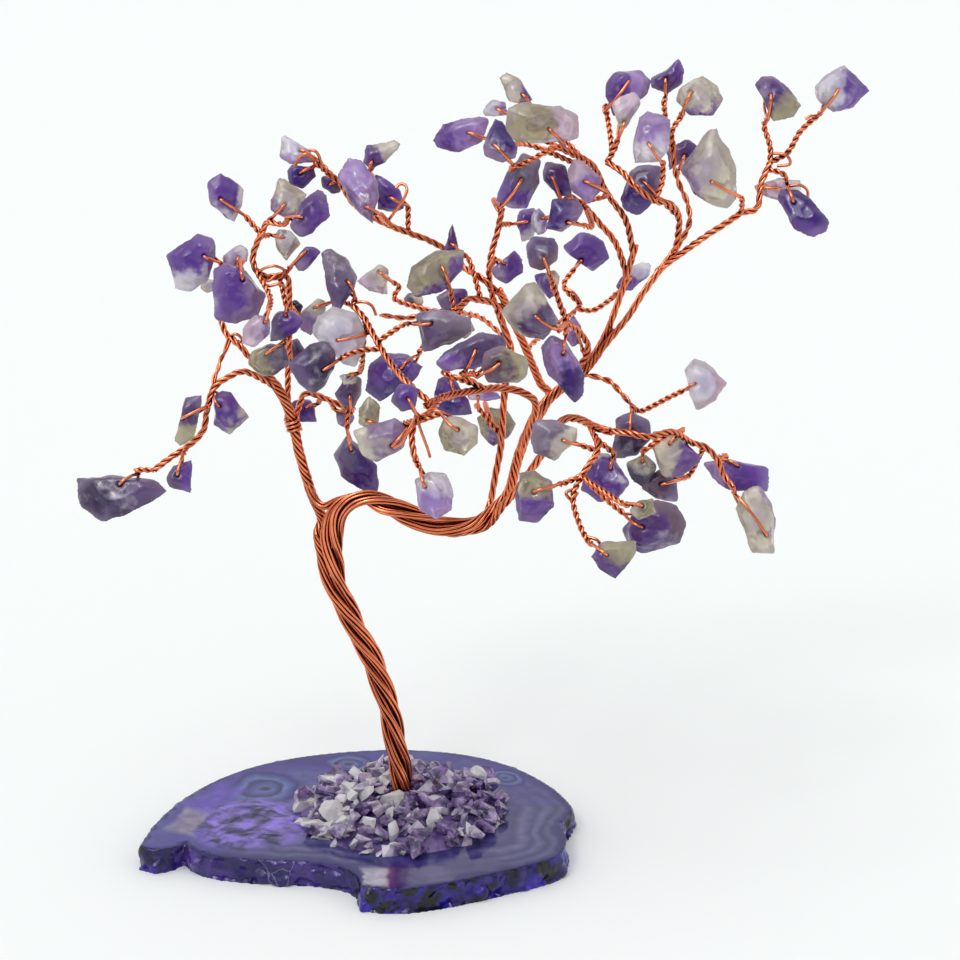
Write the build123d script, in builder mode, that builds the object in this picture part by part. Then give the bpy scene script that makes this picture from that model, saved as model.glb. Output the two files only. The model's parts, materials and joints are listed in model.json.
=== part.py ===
from build123d import *

import os
from collections import namedtuple
from math import cos, hypot, pi, radians, sin, sqrt

# Gemstone tree: twisted copper wire and drilled amethyst chips on an agate slice.
# Millimetres, +Z up, +Y away from the viewer, origin under the trunk on the slice's underside.

# Driving dimensions
CROWN_SPAN = 157.0          # across the crown, from the low left stone to the top right one
CROWN_DEPTH = 100.0         # front to back room that the depth shares divide
VIEW_DISTANCE = 600.0       # from the trunk's foot to the eye that the pixel readings belong to
VIEW_PITCH = 18.4           # degrees that the view looks down
SLICE_LENGTH = 83.5
SLICE_DEPTH = 65.0
SLICE_THICKNESS = 5.0
SLICE_FLARE = 0.6           # how far the underside stands out beyond the sawn top
SLICE_EDGE = 0.35           # broken edge round the sawn top
MOUND_RADIUS = 20.0
MOUND_HEIGHT = 4.0
GRAVEL_LENGTH = 3.7
GRAVEL_WIDTH = 2.8
GRAVEL_HEIGHT = 2.2
TRUNK_DIAMETER = 4.9        # over the outer strands
TRUNK_LAY = 62.0            # length in which a strand goes once round
LIMB_LAY = 15.0
WIRE_DIAMETER = 0.6
HOLE_DIAMETER = 1.1         # drilled through each chip
CLEARANCE = 0.12            # between neighbouring pieces that touch on the real object

# Counts
TRUNK_STRANDS = 9
TRUNK_STATIONS = 25
ROOT_COUNT = 7
GRAVEL_COUNT = 66
WIRE_SIDES = 3
PAIR_SIDES = 4
HOLE_SIDES = 4
MOUND_SIDES = 24
STRAND_SIDES = 4
CORE_SIDES = 8

# Shares and ratios
STRAND_FILL_SHARE = .86     # of the room that neighbouring strands leave each other
CORE_CLEARANCES = 2.5       # between the trunk's core and its strands, on the diameter
FOOT_CLEARANCES = 3         # between the trunk's foot and the slice
ROPE_PACKING = 1.12         # a rope's radius against that of one wire with the same section
ROOT_SHARE = .55            # length of a root wire against the mound's radius
EYE_GAP_SHARE = .55         # an eye's wire clear of the chip's face, in wire diameters
EYE_BEND_SHARE = .6         # how far an eye's bend stands out, against that gap
EYE_SPREAD_SHARE = .56      # half the distance between an eye's two legs, in wire diameters
HEAD_GAP_SHARE = 1.9        # an eye's head beyond the chip's rim, in wire diameters
GRAVEL_MARGIN_SHARE = .6    # shards' centres clear of trunk and rim, in shard lengths
DOME_SHARES = [0, .4, .75, .97]   # heights of the glue dome's rings
GOLDEN_TURN = pi * (3 - sqrt(5))

# Shards of the gravel: corners as shares of length, width and height
SHARD_SHARES = [
    [(.5, 0, 0), (.1, .45, 0), (-.42, .2, 0), (-.2, -.45, 0),
     (.3, .1, .9), (-.1, .3, 1), (-.3, -.05, .7), (.05, -.3, .8)],
    [(.46, -.16, 0), (.2, .4, 0), (-.5, .1, 0), (-.05, -.5, 0),
     (.2, -.1, 1), (.1, .2, .8), (-.25, .1, .9), (-.1, -.2, .7)],
    [(.5, .1, 0), (0, .5, 0), (-.46, -.1, 0), (.1, -.44, 0),
     (.34, .1, .6), (0, .25, .8), (-.2, 0, 1), (.1, -.25, .9)],
]
GRAVEL_TONES = ["gravel_violet", "gravel_pale", "gravel_clear"]

# Worked out from the driving dimensions
PAIR_DIAMETER = WIRE_DIAMETER * sqrt(2)
EYE_GAP = WIRE_DIAMETER * EYE_GAP_SHARE + CLEARANCE
HEAD_GAP = WIRE_DIAMETER * HEAD_GAP_SHARE
STRAND_RATIO = sin(pi / TRUNK_STRANDS) * STRAND_FILL_SHARE
STRAND_CIRCLE = TRUNK_DIAMETER / 2 / (1 + STRAND_RATIO)
STRAND_DIAMETER = 2 * STRAND_CIRCLE * STRAND_RATIO
CORE_DIAMETER = 2 * STRAND_CIRCLE - STRAND_DIAMETER - CORE_CLEARANCES * CLEARANCE
ROOT_DIAMETER = STRAND_DIAMETER
ROOT_LENGTH = MOUND_RADIUS * ROOT_SHARE
FOOT_HEIGHT = SLICE_THICKNESS + MOUND_HEIGHT + GRAVEL_HEIGHT

# Pixel readings, all in a picture of 960 by 960
PICTURE_CENTRE = 480
FOOT_PX = (402, 782)        # where the trunk comes out of the gravel
CROWN_LEFT_PX = 72
CROWN_RIGHT_PX = 871
MM_PER_PX = CROWN_SPAN / (CROWN_RIGHT_PX - CROWN_LEFT_PX)

# Sawn face of the slice: runs between its corners, each a list of pixels
SLICE_RUNS_PX = [
    [(143, 846), (154, 829), (192, 795), (258, 766), (334, 753), (411, 750), (481, 758), (545, 784),
     (570, 807)],
    [(570, 807), (566, 815), (558, 823)],
    [(558, 823), (564, 838), (556, 855), (518, 867), (440, 884), (389, 889), (360, 885)],
    [(360, 885), (354, 872), (340, 866)],
    [(340, 866), (290, 861), (236, 858), (205, 852), (189, 841)],
    [(189, 841), (167, 849), (143, 846)],
]

# Ropes of the frame: pixels with a depth share, from the root to the tip
TRUNK_PX_SHARES = [
    (402, 782, 0), (397, 750, .004), (388, 705, .014), (373, 662, .024), (352, 622, .028), (333, 585, .022),
    (323, 553, .01), (323, 530, -.002), (331, 511, -.012), (346, 502, -.02), (365, 501, -.026),
    (390, 507, -.03),
    (417, 518, -.03), (443, 526, -.026), (468, 527, -.018), (488, 519, -.01), (502, 505, -.004),
    (510, 489, 0),
]
Limb = namedtuple("Limb", "name wires strands parent points")
LIMB_PX_SHARES = [
    Limb("left_limb", 9, 3, "trunk", [
        (326, 532, .03), (322, 518, .036), (313, 497, .03), (307, 479, .024), (300, 455, .02),
        (294, 428, .015), (287, 405, .01),
        (276, 386, .005), (264, 373, 0)]),
    Limb("right_limb", 9, 3, "trunk", [
        (510, 489, 0), (517, 462, 0), (525, 439, 0), (535, 417, 0), (549, 399, .005), (568, 383, .005),
        (587, 367, 0), (601, 347, 0), (611, 328, 0)]),
    Limb("upright_limb", 4, 2, "trunk", [
        (478, 522, .03), (490, 503, .044), (495, 478, .048), (501, 445, .05), (503, 412, .05),
        (506, 380, .05),
        (511, 352, .06), (505, 331, .065), (499, 314, .065)]),
    Limb("centre_limb", 6, 2, "right_limb", [
        (534, 418, .01), (549, 398, .055), (541, 384, .06), (533, 366, .055), (523, 342, .05),
        (514, 323, .045), (506, 304, .035), (499, 290, .02)]),
    Limb("front_limb", 5, 2, "right_limb", [
        (527, 436, -.03), (536, 408, -.06), (524, 393, -.08), (500, 388, -.1), (478, 390, -.14),
        (455, 394, -.19), (438, 399, -.24), (426, 406, -.28)]),
    Limb("low_right_limb", 5, 2, "trunk", [
        (494, 514, -.04), (523, 482, -.055), (549, 443, -.07), (562, 421, -.1), (578, 419, -.14),
        (595, 427, -.19), (611, 432, -.22)]),
    Limb("crown_rope_left", 4, 2, "right_limb", [
        (611, 328, 0), (620, 297, .015), (629, 268, .015), (636, 245, .01)]),
    Limb("crown_rope_right", 4, 2, "right_limb", [
        (603, 343, -.01), (627, 318, -.03), (641, 296, -.03), (657, 274, -.025), (673, 253, -.02),
        (680, 241, -.02)]),
]

# Form of the chips
THICKNESS_SHARES = [.76, .84, .92]   # against the mean breadth, in turn
FRONT_SHARE = .52           # flat front of a chip against its outline
BACK_SHARE = .46            # flat back of a chip against its outline
WAVE_SHARE = .07            # rise and fall of the rim against the thickness
HOLE_REACH_SHARE = .6       # furthest that a hole lies from the middle, against the outline
TILT = 11.0                 # degrees by which neighbouring chips lean apart

# Sprigs. A branch is a list of pixels with a depth share, and starts on its parent rope.
# A stone has its outline in pixels, depth share, hole, and the pixels of its stem from the
# branch onwards (a third number is a depth share).
Sprig = namedtuple("Sprig", "name parent branches stones")
Stone = namedtuple("Stone", "outline depth_share hole stem")
SPRIG_PX_SHARES = [
    Sprig("left_low", "left_limb", [
        [(272, 381, 0), (246, 372, -.03), (229, 377, -.04), (214, 388, -.05), (207, 410, -.06),
         (203, 431, -.07),
         (188, 446, -.08), (170, 458, -.09), (154, 470, -.09)]], [
        Stone([(71, 478), (121, 475), (158, 480), (170, 490), (152, 502), (126, 516), (104, 522),
               (81, 508)],
              -.09, (121, 486), [(154, 470), (137, 470)]),
        Stone([(185, 398), (202, 393), (202, 407), (195, 438), (182, 448), (175, 441)],
              -.11, (183, 419), [(206, 413)]),
        Stone([(213, 398), (221, 392), (230, 393), (251, 416), (230, 435), (213, 427)],
              -.05, (222, 405), [(212, 393)]),
        Stone([(166, 479), (172, 464), (192, 458), (194, 467), (191, 493), (170, 487)],
              -.13, (178, 477), [(187, 447)]),
    ]),
    Sprig("left_outer", "left_limb", [
        [(264, 373, 0), (250, 358, .005), (238, 343, .01), (227, 335, .03), (221, 318, .05),
         (221, 296, .06),
         (230, 276, .06)]], [
        Stone([(211, 286), (213, 268), (226, 263), (246, 270), (266, 294), (258, 318), (236, 325),
               (216, 319)],
              -.01, (245, 277), [(228, 282), (242, 262, .05)]),
        Stone([(167, 256), (198, 233), (213, 240), (215, 256), (207, 280), (190, 291), (173, 291)],
              .05, (205, 254), [(231, 274), (224, 264)]),
        Stone([(222, 256), (232, 249), (241, 244), (248, 248), (248, 262), (238, 268), (222, 264)],
              .1, (238, 258), [(230, 277), (234, 270, .075)]),
        Stone([(199, 288), (205, 278), (214, 279), (220, 290), (207, 294)],
              .12, (214, 284), [(221, 300)]),
    ]),
    Sprig("left_heart", "left_limb", [
        [(284, 398, .02), (288, 372, .05), (289, 345, .06), (289, 318, .05), (289, 292, .03),
         (286, 276, .01),
         (268, 277, 0), (256, 270, -.01), (253, 256, 0), (259, 238, 0), (267, 222, 0)]], [
        Stone([(241, 342), (242, 328), (257, 314), (270, 317), (271, 335), (252, 347)],
              -.125, (266, 320), [(270, 277), (270, 296, -.06)]),
        Stone([(270, 323), (276, 313), (292, 312), (302, 321), (298, 333), (285, 342), (271, 342)],
              -.06, (287, 316), [(288, 287), (287, 303, -.03)]),
        Stone([(285, 304), (296, 298), (305, 305), (303, 314), (290, 314)],
              .1, (294, 306), [(289, 290)]),
        Stone([(248, 366), (252, 353), (269, 343), (286, 343), (288, 360), (278, 374), (262, 379)],
              -.06, (268, 353), [(289, 350), (284, 342, -.02)]),
        Stone([(284, 342), (298, 338), (304, 352), (297, 368), (285, 362)],
              .12, (291, 350), [(289, 336)]),
        Stone([(294, 264), (306, 246), (316, 247), (322, 252), (303, 272), (297, 271)],
              -.01, (306, 250), [(287, 277), (290, 268)]),
        Stone([(275, 239), (279, 230), (292, 231), (302, 244), (286, 260), (277, 250)],
              .04, (284, 237), [(262, 232)]),
        Stone([(290, 226), (301, 203), (320, 189), (328, 194), (330, 216), (313, 232), (300, 238)],
              -.06, (301, 222), [(266, 225), (284, 224)]),
        Stone([(270, 198), (279, 176), (286, 177), (307, 195), (300, 211), (289, 221), (271, 209)],
              .02, (284, 205), [(267, 222)]),
        Stone([(209, 180), (222, 172), (233, 179), (244, 190), (242, 207), (233, 224), (211, 202)],
              .0, (219, 198), [(261, 234), (247, 217)]),
    ]),
    Sprig("upper_left", "centre_limb", [
        [(499, 290, .02), (480, 277, .03), (466, 269, .06), (453, 256, .08), (441, 247, .08),
         (428, 240, .07), (409, 233, .06), (391, 226, .05), (371, 216, .07), (353, 203, .08),
         (340, 183, .08), (327, 173, .06)]], [
        Stone([(336, 175), (345, 155), (359, 159), (375, 177), (379, 198), (376, 226), (351, 202)],
              .02, (370, 213), [(391, 226)]),
        Stone([(364, 163), (366, 146), (394, 140), (400, 144), (386, 163), (371, 169)],
              .1, (374, 162), [(362, 209), (372, 180, .13)]),
        Stone([(374, 176), (388, 180), (400, 191), (406, 208), (397, 212), (378, 211)],
              .09, (392, 196), [(402, 230), (410, 206, .09)]),
        Stone([(279, 137), (284, 133), (295, 140), (308, 151), (315, 163), (290, 165), (280, 158)],
              .09, (300, 152), [(328, 174), (321, 162)]),
        Stone([(287, 170), (292, 165), (315, 167), (318, 177), (303, 189), (290, 184)],
              .075, (300, 174), [(327, 173), (316, 163, .05)]),
        Stone([(322, 175), (339, 180), (341, 193), (331, 195), (321, 188)],
              .1, (330, 184), [(333, 176)]),
    ]),
    Sprig("mid_left", "front_limb", [
        [(426, 406, -.28), (406, 381, -.22), (393, 366, -.17), (379, 345, -.12), (365, 319, -.06),
         (352, 305, -.03)]], [
        Stone([(322, 251), (331, 247), (347, 257), (356, 277), (353, 292), (336, 313), (330, 309),
               (325, 275)],
              -.02, (346, 283), [(352, 305), (354, 297)]),
        Stone([(286, 362), (310, 344), (328, 342), (336, 353), (335, 370), (324, 385), (312, 393),
               (296, 382)],
              -.14, (321, 371), [(377, 345), (364, 350), (347, 355)]),
        Stone([(313, 330), (318, 311), (335, 306), (358, 314), (367, 340), (355, 369), (340, 366)],
              -.075, (335, 338), [(378, 347)]),
        Stone([(337, 376), (347, 372), (359, 376), (358, 385), (343, 386)],
              .0, (348, 376), [(383, 351), (362, 362, -.05)]),
        Stone([(300, 330), (303, 312), (316, 297), (325, 302), (322, 318), (312, 336)],
              .02, (315, 308), [(357, 311), (336, 299, .01)]),
        Stone([(412, 316), (434, 311), (471, 314), (472, 328), (452, 346), (425, 353)],
              -.1, (433, 322), [(382, 349), (401, 326)]),
    ]),
    Sprig("low_left", "left_limb", [
        [(290, 414, .03), (303, 396, .06), (316, 395, .08), (338, 404, .08), (354, 409, .06)]], [
        Stone([(286, 412), (293, 401), (310, 399), (319, 424), (303, 424), (285, 420)],
              .11, (306, 409), [(318, 396)]),
        Stone([(334, 394), (347, 377), (361, 377), (361, 393), (355, 407), (342, 407)],
              .05, (350, 395), [(347, 407)]),
        Stone([(334, 454), (347, 433), (361, 447), (377, 465), (380, 495), (361, 492), (340, 477)],
              .05, (352, 449), [(340, 405), (345, 422)]),
        Stone([(338, 412), (348, 408), (354, 418), (348, 428), (339, 424)],
              .11, (344, 414), [(330, 401)]),
    ]),
    Sprig("front_left", "front_limb", [
        [(478, 390, -.14), (470, 380, -.17), (461, 373, -.18)]], [
        Stone([(433, 362), (442, 350), (484, 333), (507, 335), (508, 348), (480, 367), (443, 369)],
              -.17, (474, 350), [(461, 373)]),
        Stone([(478, 364), (485, 350), (503, 346), (528, 360), (529, 378), (517, 385), (487, 380)],
              -.235, (497, 361), [(470, 380), (474, 374, -.22)]),
        Stone([(432, 392), (436, 378), (448, 375), (471, 401), (474, 415), (457, 417), (434, 410)],
              -.11, (456, 393), [(465, 376), (446, 374, -.14)]),
    ]),
    Sprig("front_low", "front_limb", [
        [(438, 399, -.25), (428, 414, -.31), (416, 420, -.33), (412, 440, -.36), (416, 462, -.38)]], [
        Stone([(413, 481), (426, 471), (443, 474), (455, 495), (453, 509), (439, 520), (420, 511)],
              -.4, (427, 487), [(416, 462), (418, 466)]),
        Stone([(437, 433), (443, 418), (462, 417), (478, 424), (479, 442), (466, 456), (446, 452)],
              -.36, (460, 428), [(426, 415), (443, 414)]),
        Stone([(391, 401), (400, 385), (413, 383), (419, 392), (416, 409), (401, 413)],
              -.34, (408, 400), [(422, 417)]),
        Stone([(356, 408), (369, 396), (380, 406), (381, 422), (370, 429), (358, 424)],
              -.2, (368, 421), [(416, 420, -.33), (402, 424), (386, 428)]),
        Stone([(351, 430), (370, 428), (395, 417), (409, 429), (404, 447), (377, 463), (362, 454)],
              -.3, (392, 444), [(412, 438)]),
    ]),
    Sprig("centre_left", "centre_limb", [
        [(506, 304, .03), (487, 301, .01), (470, 299, -.01), (460, 307, -.04), (453, 311, -.05)]], [
        Stone([(404, 287), (412, 267), (438, 250), (466, 249), (464, 268), (440, 293), (413, 299)],
              -.04, (440, 268), [(453, 311), (452, 299)]),
        Stone([(442, 250), (449, 230), (454, 221), (458, 249), (450, 254)],
              .03, (450, 244), [(472, 298), (470, 262, .03)]),
        Stone([(436, 296), (449, 289), (467, 291), (469, 305), (456, 313), (441, 308)],
              .03, (460, 299), [(484, 301)]),
        Stone([(364, 392), (368, 364), (381, 354), (407, 354), (423, 366), (412, 383), (381, 404)],
              -.03, (403, 371), [(461, 306), (446, 334, .0), (423, 347, -.02)]),
    ]),
    Sprig("back_left", "upright_limb", [
        [(505, 333, .07), (482, 318, .15), (456, 312, .24), (432, 311, .3), (408, 318, .3),
         (380, 315, .28)]], [
        Stone([(356, 282), (379, 264), (387, 268), (389, 294), (369, 292)],
              .3, (381, 272), [(432, 311), (409, 305), (394, 298), (399, 287)]),
        Stone([(401, 300), (408, 293), (420, 294), (424, 302), (414, 308)],
              .36, (414, 302), [(424, 313)]),
        Stone([(448, 334), (455, 322), (470, 320), (477, 330), (466, 340)],
              .2, (464, 327), [(480, 318)]),
    ]),
    Sprig("centre_high", "upright_limb", [
        [(499, 314, .065), (493, 298, .05), (489, 277, .04), (491, 256, .03), (497, 234, .05),
         (502, 208, .05)],
        [(502, 428, .05), (488, 414, .1)]], [
        Stone([(475, 417), (489, 407), (505, 408), (516, 424), (510, 435), (494, 446), (480, 435)],
              .17, (490, 424), [(488, 414)]),
        Stone([(466, 393), (480, 388), (498, 392), (502, 398), (488, 402), (468, 400)],
              .02, (478, 396), [(490, 416), (478, 408, .05)]),
        Stone([(491, 270), (516, 249), (523, 258), (523, 273), (506, 285), (495, 279)],
              -.03, (503, 266), [(491, 290)]),
        Stone([(516, 224), (521, 210), (535, 208), (540, 224), (531, 241), (519, 243)],
              .1, (527, 222), [(500, 218)]),
        Stone([(494, 199), (510, 166), (525, 153), (542, 161), (539, 185), (527, 209), (512, 210)],
              -.04, (519, 178), [(502, 208), (494, 200, .03)]),
    ]),
    Sprig("heart", "right_limb", [
        [(568, 383, .005), (587, 354, -.03), (581, 334, -.06), (566, 323, -.1)]], [
        Stone([(527, 245), (533, 237), (554, 238), (559, 247), (557, 260), (542, 272), (530, 268)],
              -.12, (546, 260), [(566, 323), (559, 302), (553, 283)]),
        Stone([(532, 275), (554, 268), (561, 275), (558, 294), (550, 300), (539, 287)],
              -.06, (552, 286), [(561, 308)]),
        Stone([(499, 314), (524, 284), (533, 281), (548, 305), (558, 318), (547, 341), (522, 337)],
              -.18, (538, 313), [(566, 322)]),
        Stone([(540, 346), (551, 335), (566, 340), (586, 376), (585, 393), (575, 406), (548, 376)],
              -.14, (563, 354), [(569, 325), (566, 332, -.13)]),
        Stone([(566, 324), (573, 315), (581, 325), (580, 343), (573, 349), (566, 340)],
              .0, (574, 326), [(585, 345)]),
    ]),
    Sprig("back_right", "centre_limb", [
        [(523, 342, .05), (546, 332, .16), (572, 314, .28), (581, 305, .32)]], [
        Stone([(563, 246), (577, 233), (588, 233), (604, 241), (611, 258), (593, 272), (579, 264)],
              .34, (581, 259), [(578, 309), (564, 286), (571, 274)]),
        Stone([(615, 287), (627, 268), (642, 260), (653, 263), (650, 275), (632, 291), (619, 291)],
              .3, (630, 280), [(580, 306), (594, 310), (612, 298)]),
    ]),
    Sprig("top_centre", "crown_rope_left", [
        [(636, 245, .01), (626, 221, 0), (613, 202, .0), (604, 188, .01), (593, 166, -.01),
         (572, 153, -.06),
         (556, 147, -.09), (549, 150, -.1)]], [
        Stone([(498, 76), (506, 70), (520, 79), (533, 101), (527, 105), (508, 99)],
              .0, (520, 95), [(560, 148), (544, 118, -.02)]),
        Stone([(504, 124), (508, 107), (525, 102), (562, 105), (579, 118), (578, 140), (556, 142),
               (512, 139)],
              -.14, (546, 128), [(566, 151), (562, 146, -.1)]),
        Stone([(483, 147), (493, 116), (502, 120), (520, 147), (518, 160), (504, 164), (485, 157)],
              -.08, (496, 148), [(549, 150), (514, 168, -.07)]),
        Stone([(432, 141), (441, 124), (479, 114), (490, 118), (484, 141), (460, 153), (437, 149)],
              .12, (470, 134), [(549, 150), (534, 146, -.03), (512, 144, .04)]),
        Stone([(482, 112), (492, 99), (506, 101), (508, 114), (496, 118), (484, 118)],
              .06, (498, 108), [(550, 149), (534, 134, -.02)]),
    ]),
    Sprig("top_heart", "crown_rope_left", [
        [(629, 268, .015), (616, 244, .03), (600, 224, .04), (584, 206, .03), (570, 196, .02)]], [
        Stone([(544, 180), (546, 162), (565, 164), (573, 182), (571, 199), (557, 197)],
              -.01, (551, 178), [(570, 196), (560, 204)]),
        Stone([(567, 172), (573, 157), (582, 160), (600, 178), (601, 193), (590, 205), (573, 193)],
              -.08, (584, 182), [(598, 222), (605, 196, -.01)]),
        Stone([(545, 229), (552, 200), (577, 198), (584, 208), (577, 224), (562, 233)],
              -.085, (567, 221), [(606, 231), (592, 226, -.05)]),
        Stone([(532, 214), (540, 205), (546, 217), (546, 230), (538, 235), (531, 228)],
              .06, (541, 220), [(570, 196)]),
    ]),
    Sprig("top_bridge", "crown_rope_right", [
        [(680, 241, -.02), (679, 226, -.03), (677, 212, -.05), (668, 203, -.07), (655, 201, -.09),
         (636, 187, -.1),
         (622, 172, -.08), (607, 162, -.05)]], [
        Stone([(604, 97), (606, 82), (615, 73), (642, 71), (652, 82), (648, 95), (630, 108), (612, 117)],
              .03, (627, 82), [(607, 162), (612, 150), (606, 108, .04)]),
        Stone([(611, 103), (619, 95), (636, 92), (640, 103), (627, 128), (619, 132)],
              -.04, (622, 121), [(607, 162), (614, 150)]),
        Stone([(619, 199), (628, 170), (636, 165), (659, 166), (659, 185), (650, 208), (640, 216),
               (625, 210)],
              -.02, (644, 184), [(672, 207)]),
        Stone([(634, 143), (636, 117), (646, 111), (669, 120), (669, 147), (659, 162), (636, 164)],
              -.1, (650, 145), [(658, 202), (662, 182), (663, 164)]),
    ]),
    Sprig("top_right", "crown_rope_right", [
        [(673, 253, -.02), (688, 228, .01), (688, 205, .03), (680, 186, .04), (674, 166, .03),
         (673, 146, .02)]], [
        Stone([(651, 80), (678, 57), (684, 67), (684, 82), (669, 92), (653, 88)],
              .065, (667, 78), [(673, 146), (666, 122, .05), (664, 104, .04)]),
        Stone([(675, 101), (680, 89), (703, 74), (718, 86), (724, 99), (714, 118), (690, 116)],
              .0, (691, 95), [(673, 146), (672, 131), (682, 115)]),
        Stone([(667, 151), (671, 147), (688, 139), (702, 151), (688, 162), (669, 170)],
              .06, (684, 156), [(675, 170)]),
    ]),
    Sprig("far_right", "crown_rope_right", [
        [(670, 258, -.03), (700, 240, -.05), (725, 224, -.05), (742, 213, -.04), (757, 208, -.03),
         (761, 184, -.02),
         (770, 163, -.01)]], [
        Stone([(681, 170), (690, 157), (707, 130), (716, 128), (735, 164), (737, 198), (728, 209),
               (694, 194)],
              -.06, (710, 180), [(744, 212), (741, 197)]),
        Stone([(755, 84), (762, 75), (774, 75), (790, 90), (802, 106), (793, 118), (771, 123)],
              .0, (766, 98), [(770, 163), (770, 146), (764, 126)]),
        Stone([(815, 86), (825, 74), (845, 66), (856, 76), (871, 92), (852, 108), (831, 112), (818, 101)],
              .02, (834, 91), [(770, 163), (788, 152), (800, 132), (816, 117)]),
        Stone([(761, 193), (764, 181), (780, 178), (805, 181), (802, 193), (776, 199)],
              .07, (778, 188), [(760, 190)]),
        Stone([(777, 199), (780, 189), (797, 189), (814, 203), (830, 222), (829, 234), (816, 237),
               (795, 231)],
              -.03, (794, 203), [(767, 168), (783, 174)]),
    ]),
    Sprig("right_mid", "right_limb", [
        [(587, 367, 0), (607, 380, -.02), (621, 393, -.04), (634, 408, -.05)]], [
        Stone([(683, 371), (692, 357), (713, 366), (727, 382), (719, 400), (698, 412)],
              -.03, (696, 384), [(634, 408), (642, 411), (668, 398)]),
        Stone([(614, 419), (630, 413), (648, 419), (651, 437), (637, 455), (614, 460)],
              -.085, (632, 430), [(634, 408)]),
    ]),
    Sprig("low_right", "low_right_limb", [
        [(611, 432, -.22), (628, 433, -.24), (650, 437, -.24), (672, 432, -.2), (692, 443, -.15),
         (705, 447, -.14),
         (716, 458, -.14), (724, 476, -.14), (733, 487, -.15)]], [
        Stone([(653, 432), (676, 430), (701, 458), (683, 478), (664, 476), (653, 449)],
              -.16, (669, 445), [(648, 437)]),
        Stone([(625, 462), (644, 455), (655, 467), (644, 490), (630, 480)],
              -.16, (642, 462), [(640, 435), (645, 450, -.2)]),
        Stone([(641, 478), (660, 467), (678, 481), (677, 501), (655, 501), (641, 490)],
              -.14, (660, 482), [(704, 446), (690, 474, -.11)]),
        Stone([(703, 462), (731, 459), (771, 469), (768, 494), (727, 490), (711, 478)],
              -.08, (737, 467), [(714, 455), (726, 456, -.1)]),
        Stone([(734, 506), (743, 489), (761, 485), (772, 504), (776, 531), (772, 555), (750, 552)],
              -.14, (762, 535), [(733, 487)]),
    ]),
    Sprig("low_front", "low_right_limb", [
        [(595, 427, -.19), (598, 448, -.25), (588, 466, -.28), (581, 476, -.29)]], [
        Stone([(529, 435), (536, 419), (559, 419), (578, 430), (577, 444), (554, 462), (531, 451)],
              -.27, (560, 438), [(596, 440)]),
        Stone([(580, 492), (587, 466), (593, 452), (607, 453), (631, 483), (620, 497), (600, 504)],
              -.215, (612, 471), [(598, 449), (612, 452, -.22)]),
        Stone([(513, 495), (517, 473), (531, 471), (551, 479), (556, 507), (540, 523), (519, 523)],
              -.32, (535, 492), [(581, 475), (565, 483)]),
        Stone([(622, 533), (634, 511), (655, 498), (676, 502), (686, 520), (680, 540), (646, 555),
               (630, 549)],
              -.33, (645, 524), [(581, 476), (606, 499), (622, 513)]),
        Stone([(630, 511), (639, 500), (655, 496), (658, 514), (637, 521)],
              -.4, (642, 507), [(604, 497), (622, 503, -.38)]),
        Stone([(591, 557), (602, 543), (637, 540), (637, 552), (616, 582), (604, 572)],
              -.4, (607, 555), [(581, 476), (573, 498), (579, 523), (588, 541)]),
    ]),
]


def ray(pixel):
    """Direction from the eye through a pixel, with unit length along the line of sight."""
    across = (pixel[0] - PICTURE_CENTRE) * MM_PER_PX / VIEW_DISTANCE
    rise = (PICTURE_CENTRE - pixel[1]) * MM_PER_PX / VIEW_DISTANCE
    pitch = radians(VIEW_PITCH)
    return Vector(across, cos(pitch) + rise * sin(pitch), rise * cos(pitch) - sin(pitch))


EYE = Vector(0, 0, FOOT_HEIGHT) - ray(FOOT_PX) * VIEW_DISTANCE


def spot(pixel, depth):
    """Point on a pixel's ray at a distance behind the trunk's plane."""
    sight = ray(pixel)
    return EYE + sight * ((depth - EYE.Y) / sight.Y)


def on_slice(pixel):
    """Point on a pixel's ray at the height of the sawn face."""
    sight = ray(pixel)
    return EYE + sight * ((SLICE_THICKNESS - EYE.Z) / sight.Z)


def route(rows):
    """Points of a rope or branch from its rows of pixel and depth share."""
    return [spot(row[:2], row[2] * CROWN_DEPTH) for row in rows]


def near(point, *lines):
    """Nearest point on lines of straight runs, with the direction of its run."""
    found = []
    for line in lines:
        for start, end in zip(line, line[1:]):
            run = end - start
            along = max(0.0, min(1.0, (point - start).dot(run) / run.dot(run)))
            foot = start + run * along
            found.append(((point - foot).length, foot, run.normalized()))
    return min(found, key=lambda item: item[0])[1:]


def seat(points, parent, parent_radius, radius):
    """Move the first point of a rope to the skin of its parent rope, facing the second point."""
    foot, along = near(points[0], parent)
    gap = parent_radius + radius + CLEARANCE
    if (foot - parent[-1]).length < gap / 2:
        return [parent[-1] + along * (radius / 2 + CLEARANCE)] + points[1:]
    out = points[1] - foot
    out = (out - along * out.dot(along)).normalized()
    return [foot + out * gap] + points[1:]


def stations(points, count):
    """Points and directions at even steps along a smooth curve through the given points."""
    with BuildLine() as guide:
        Spline(*points)
    steps = [index / (count - 1) for index in range(count)]
    return [(guide.line @ step, guide.line % step) for step in steps]


def wound(places, strands, circle, lay):
    """Strands wound round a line: one list of points for each strand."""
    length = 0.0
    turned = []
    previous = places[0][0]
    for point, along in places:
        length += (point - previous).length
        previous = point
        side = (Vector(0, 1, 0) - along * along.Y).normalized()
        turned.append((point, side, along.cross(side), 2 * pi * length / lay))
    return [
        [
            point + (side * cos(angle + phase) + up * sin(angle + phase)) * circle
            for point, side, up, angle in turned
        ]
        for phase in (2 * pi * strand / strands for strand in range(strands))
    ]


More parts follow.
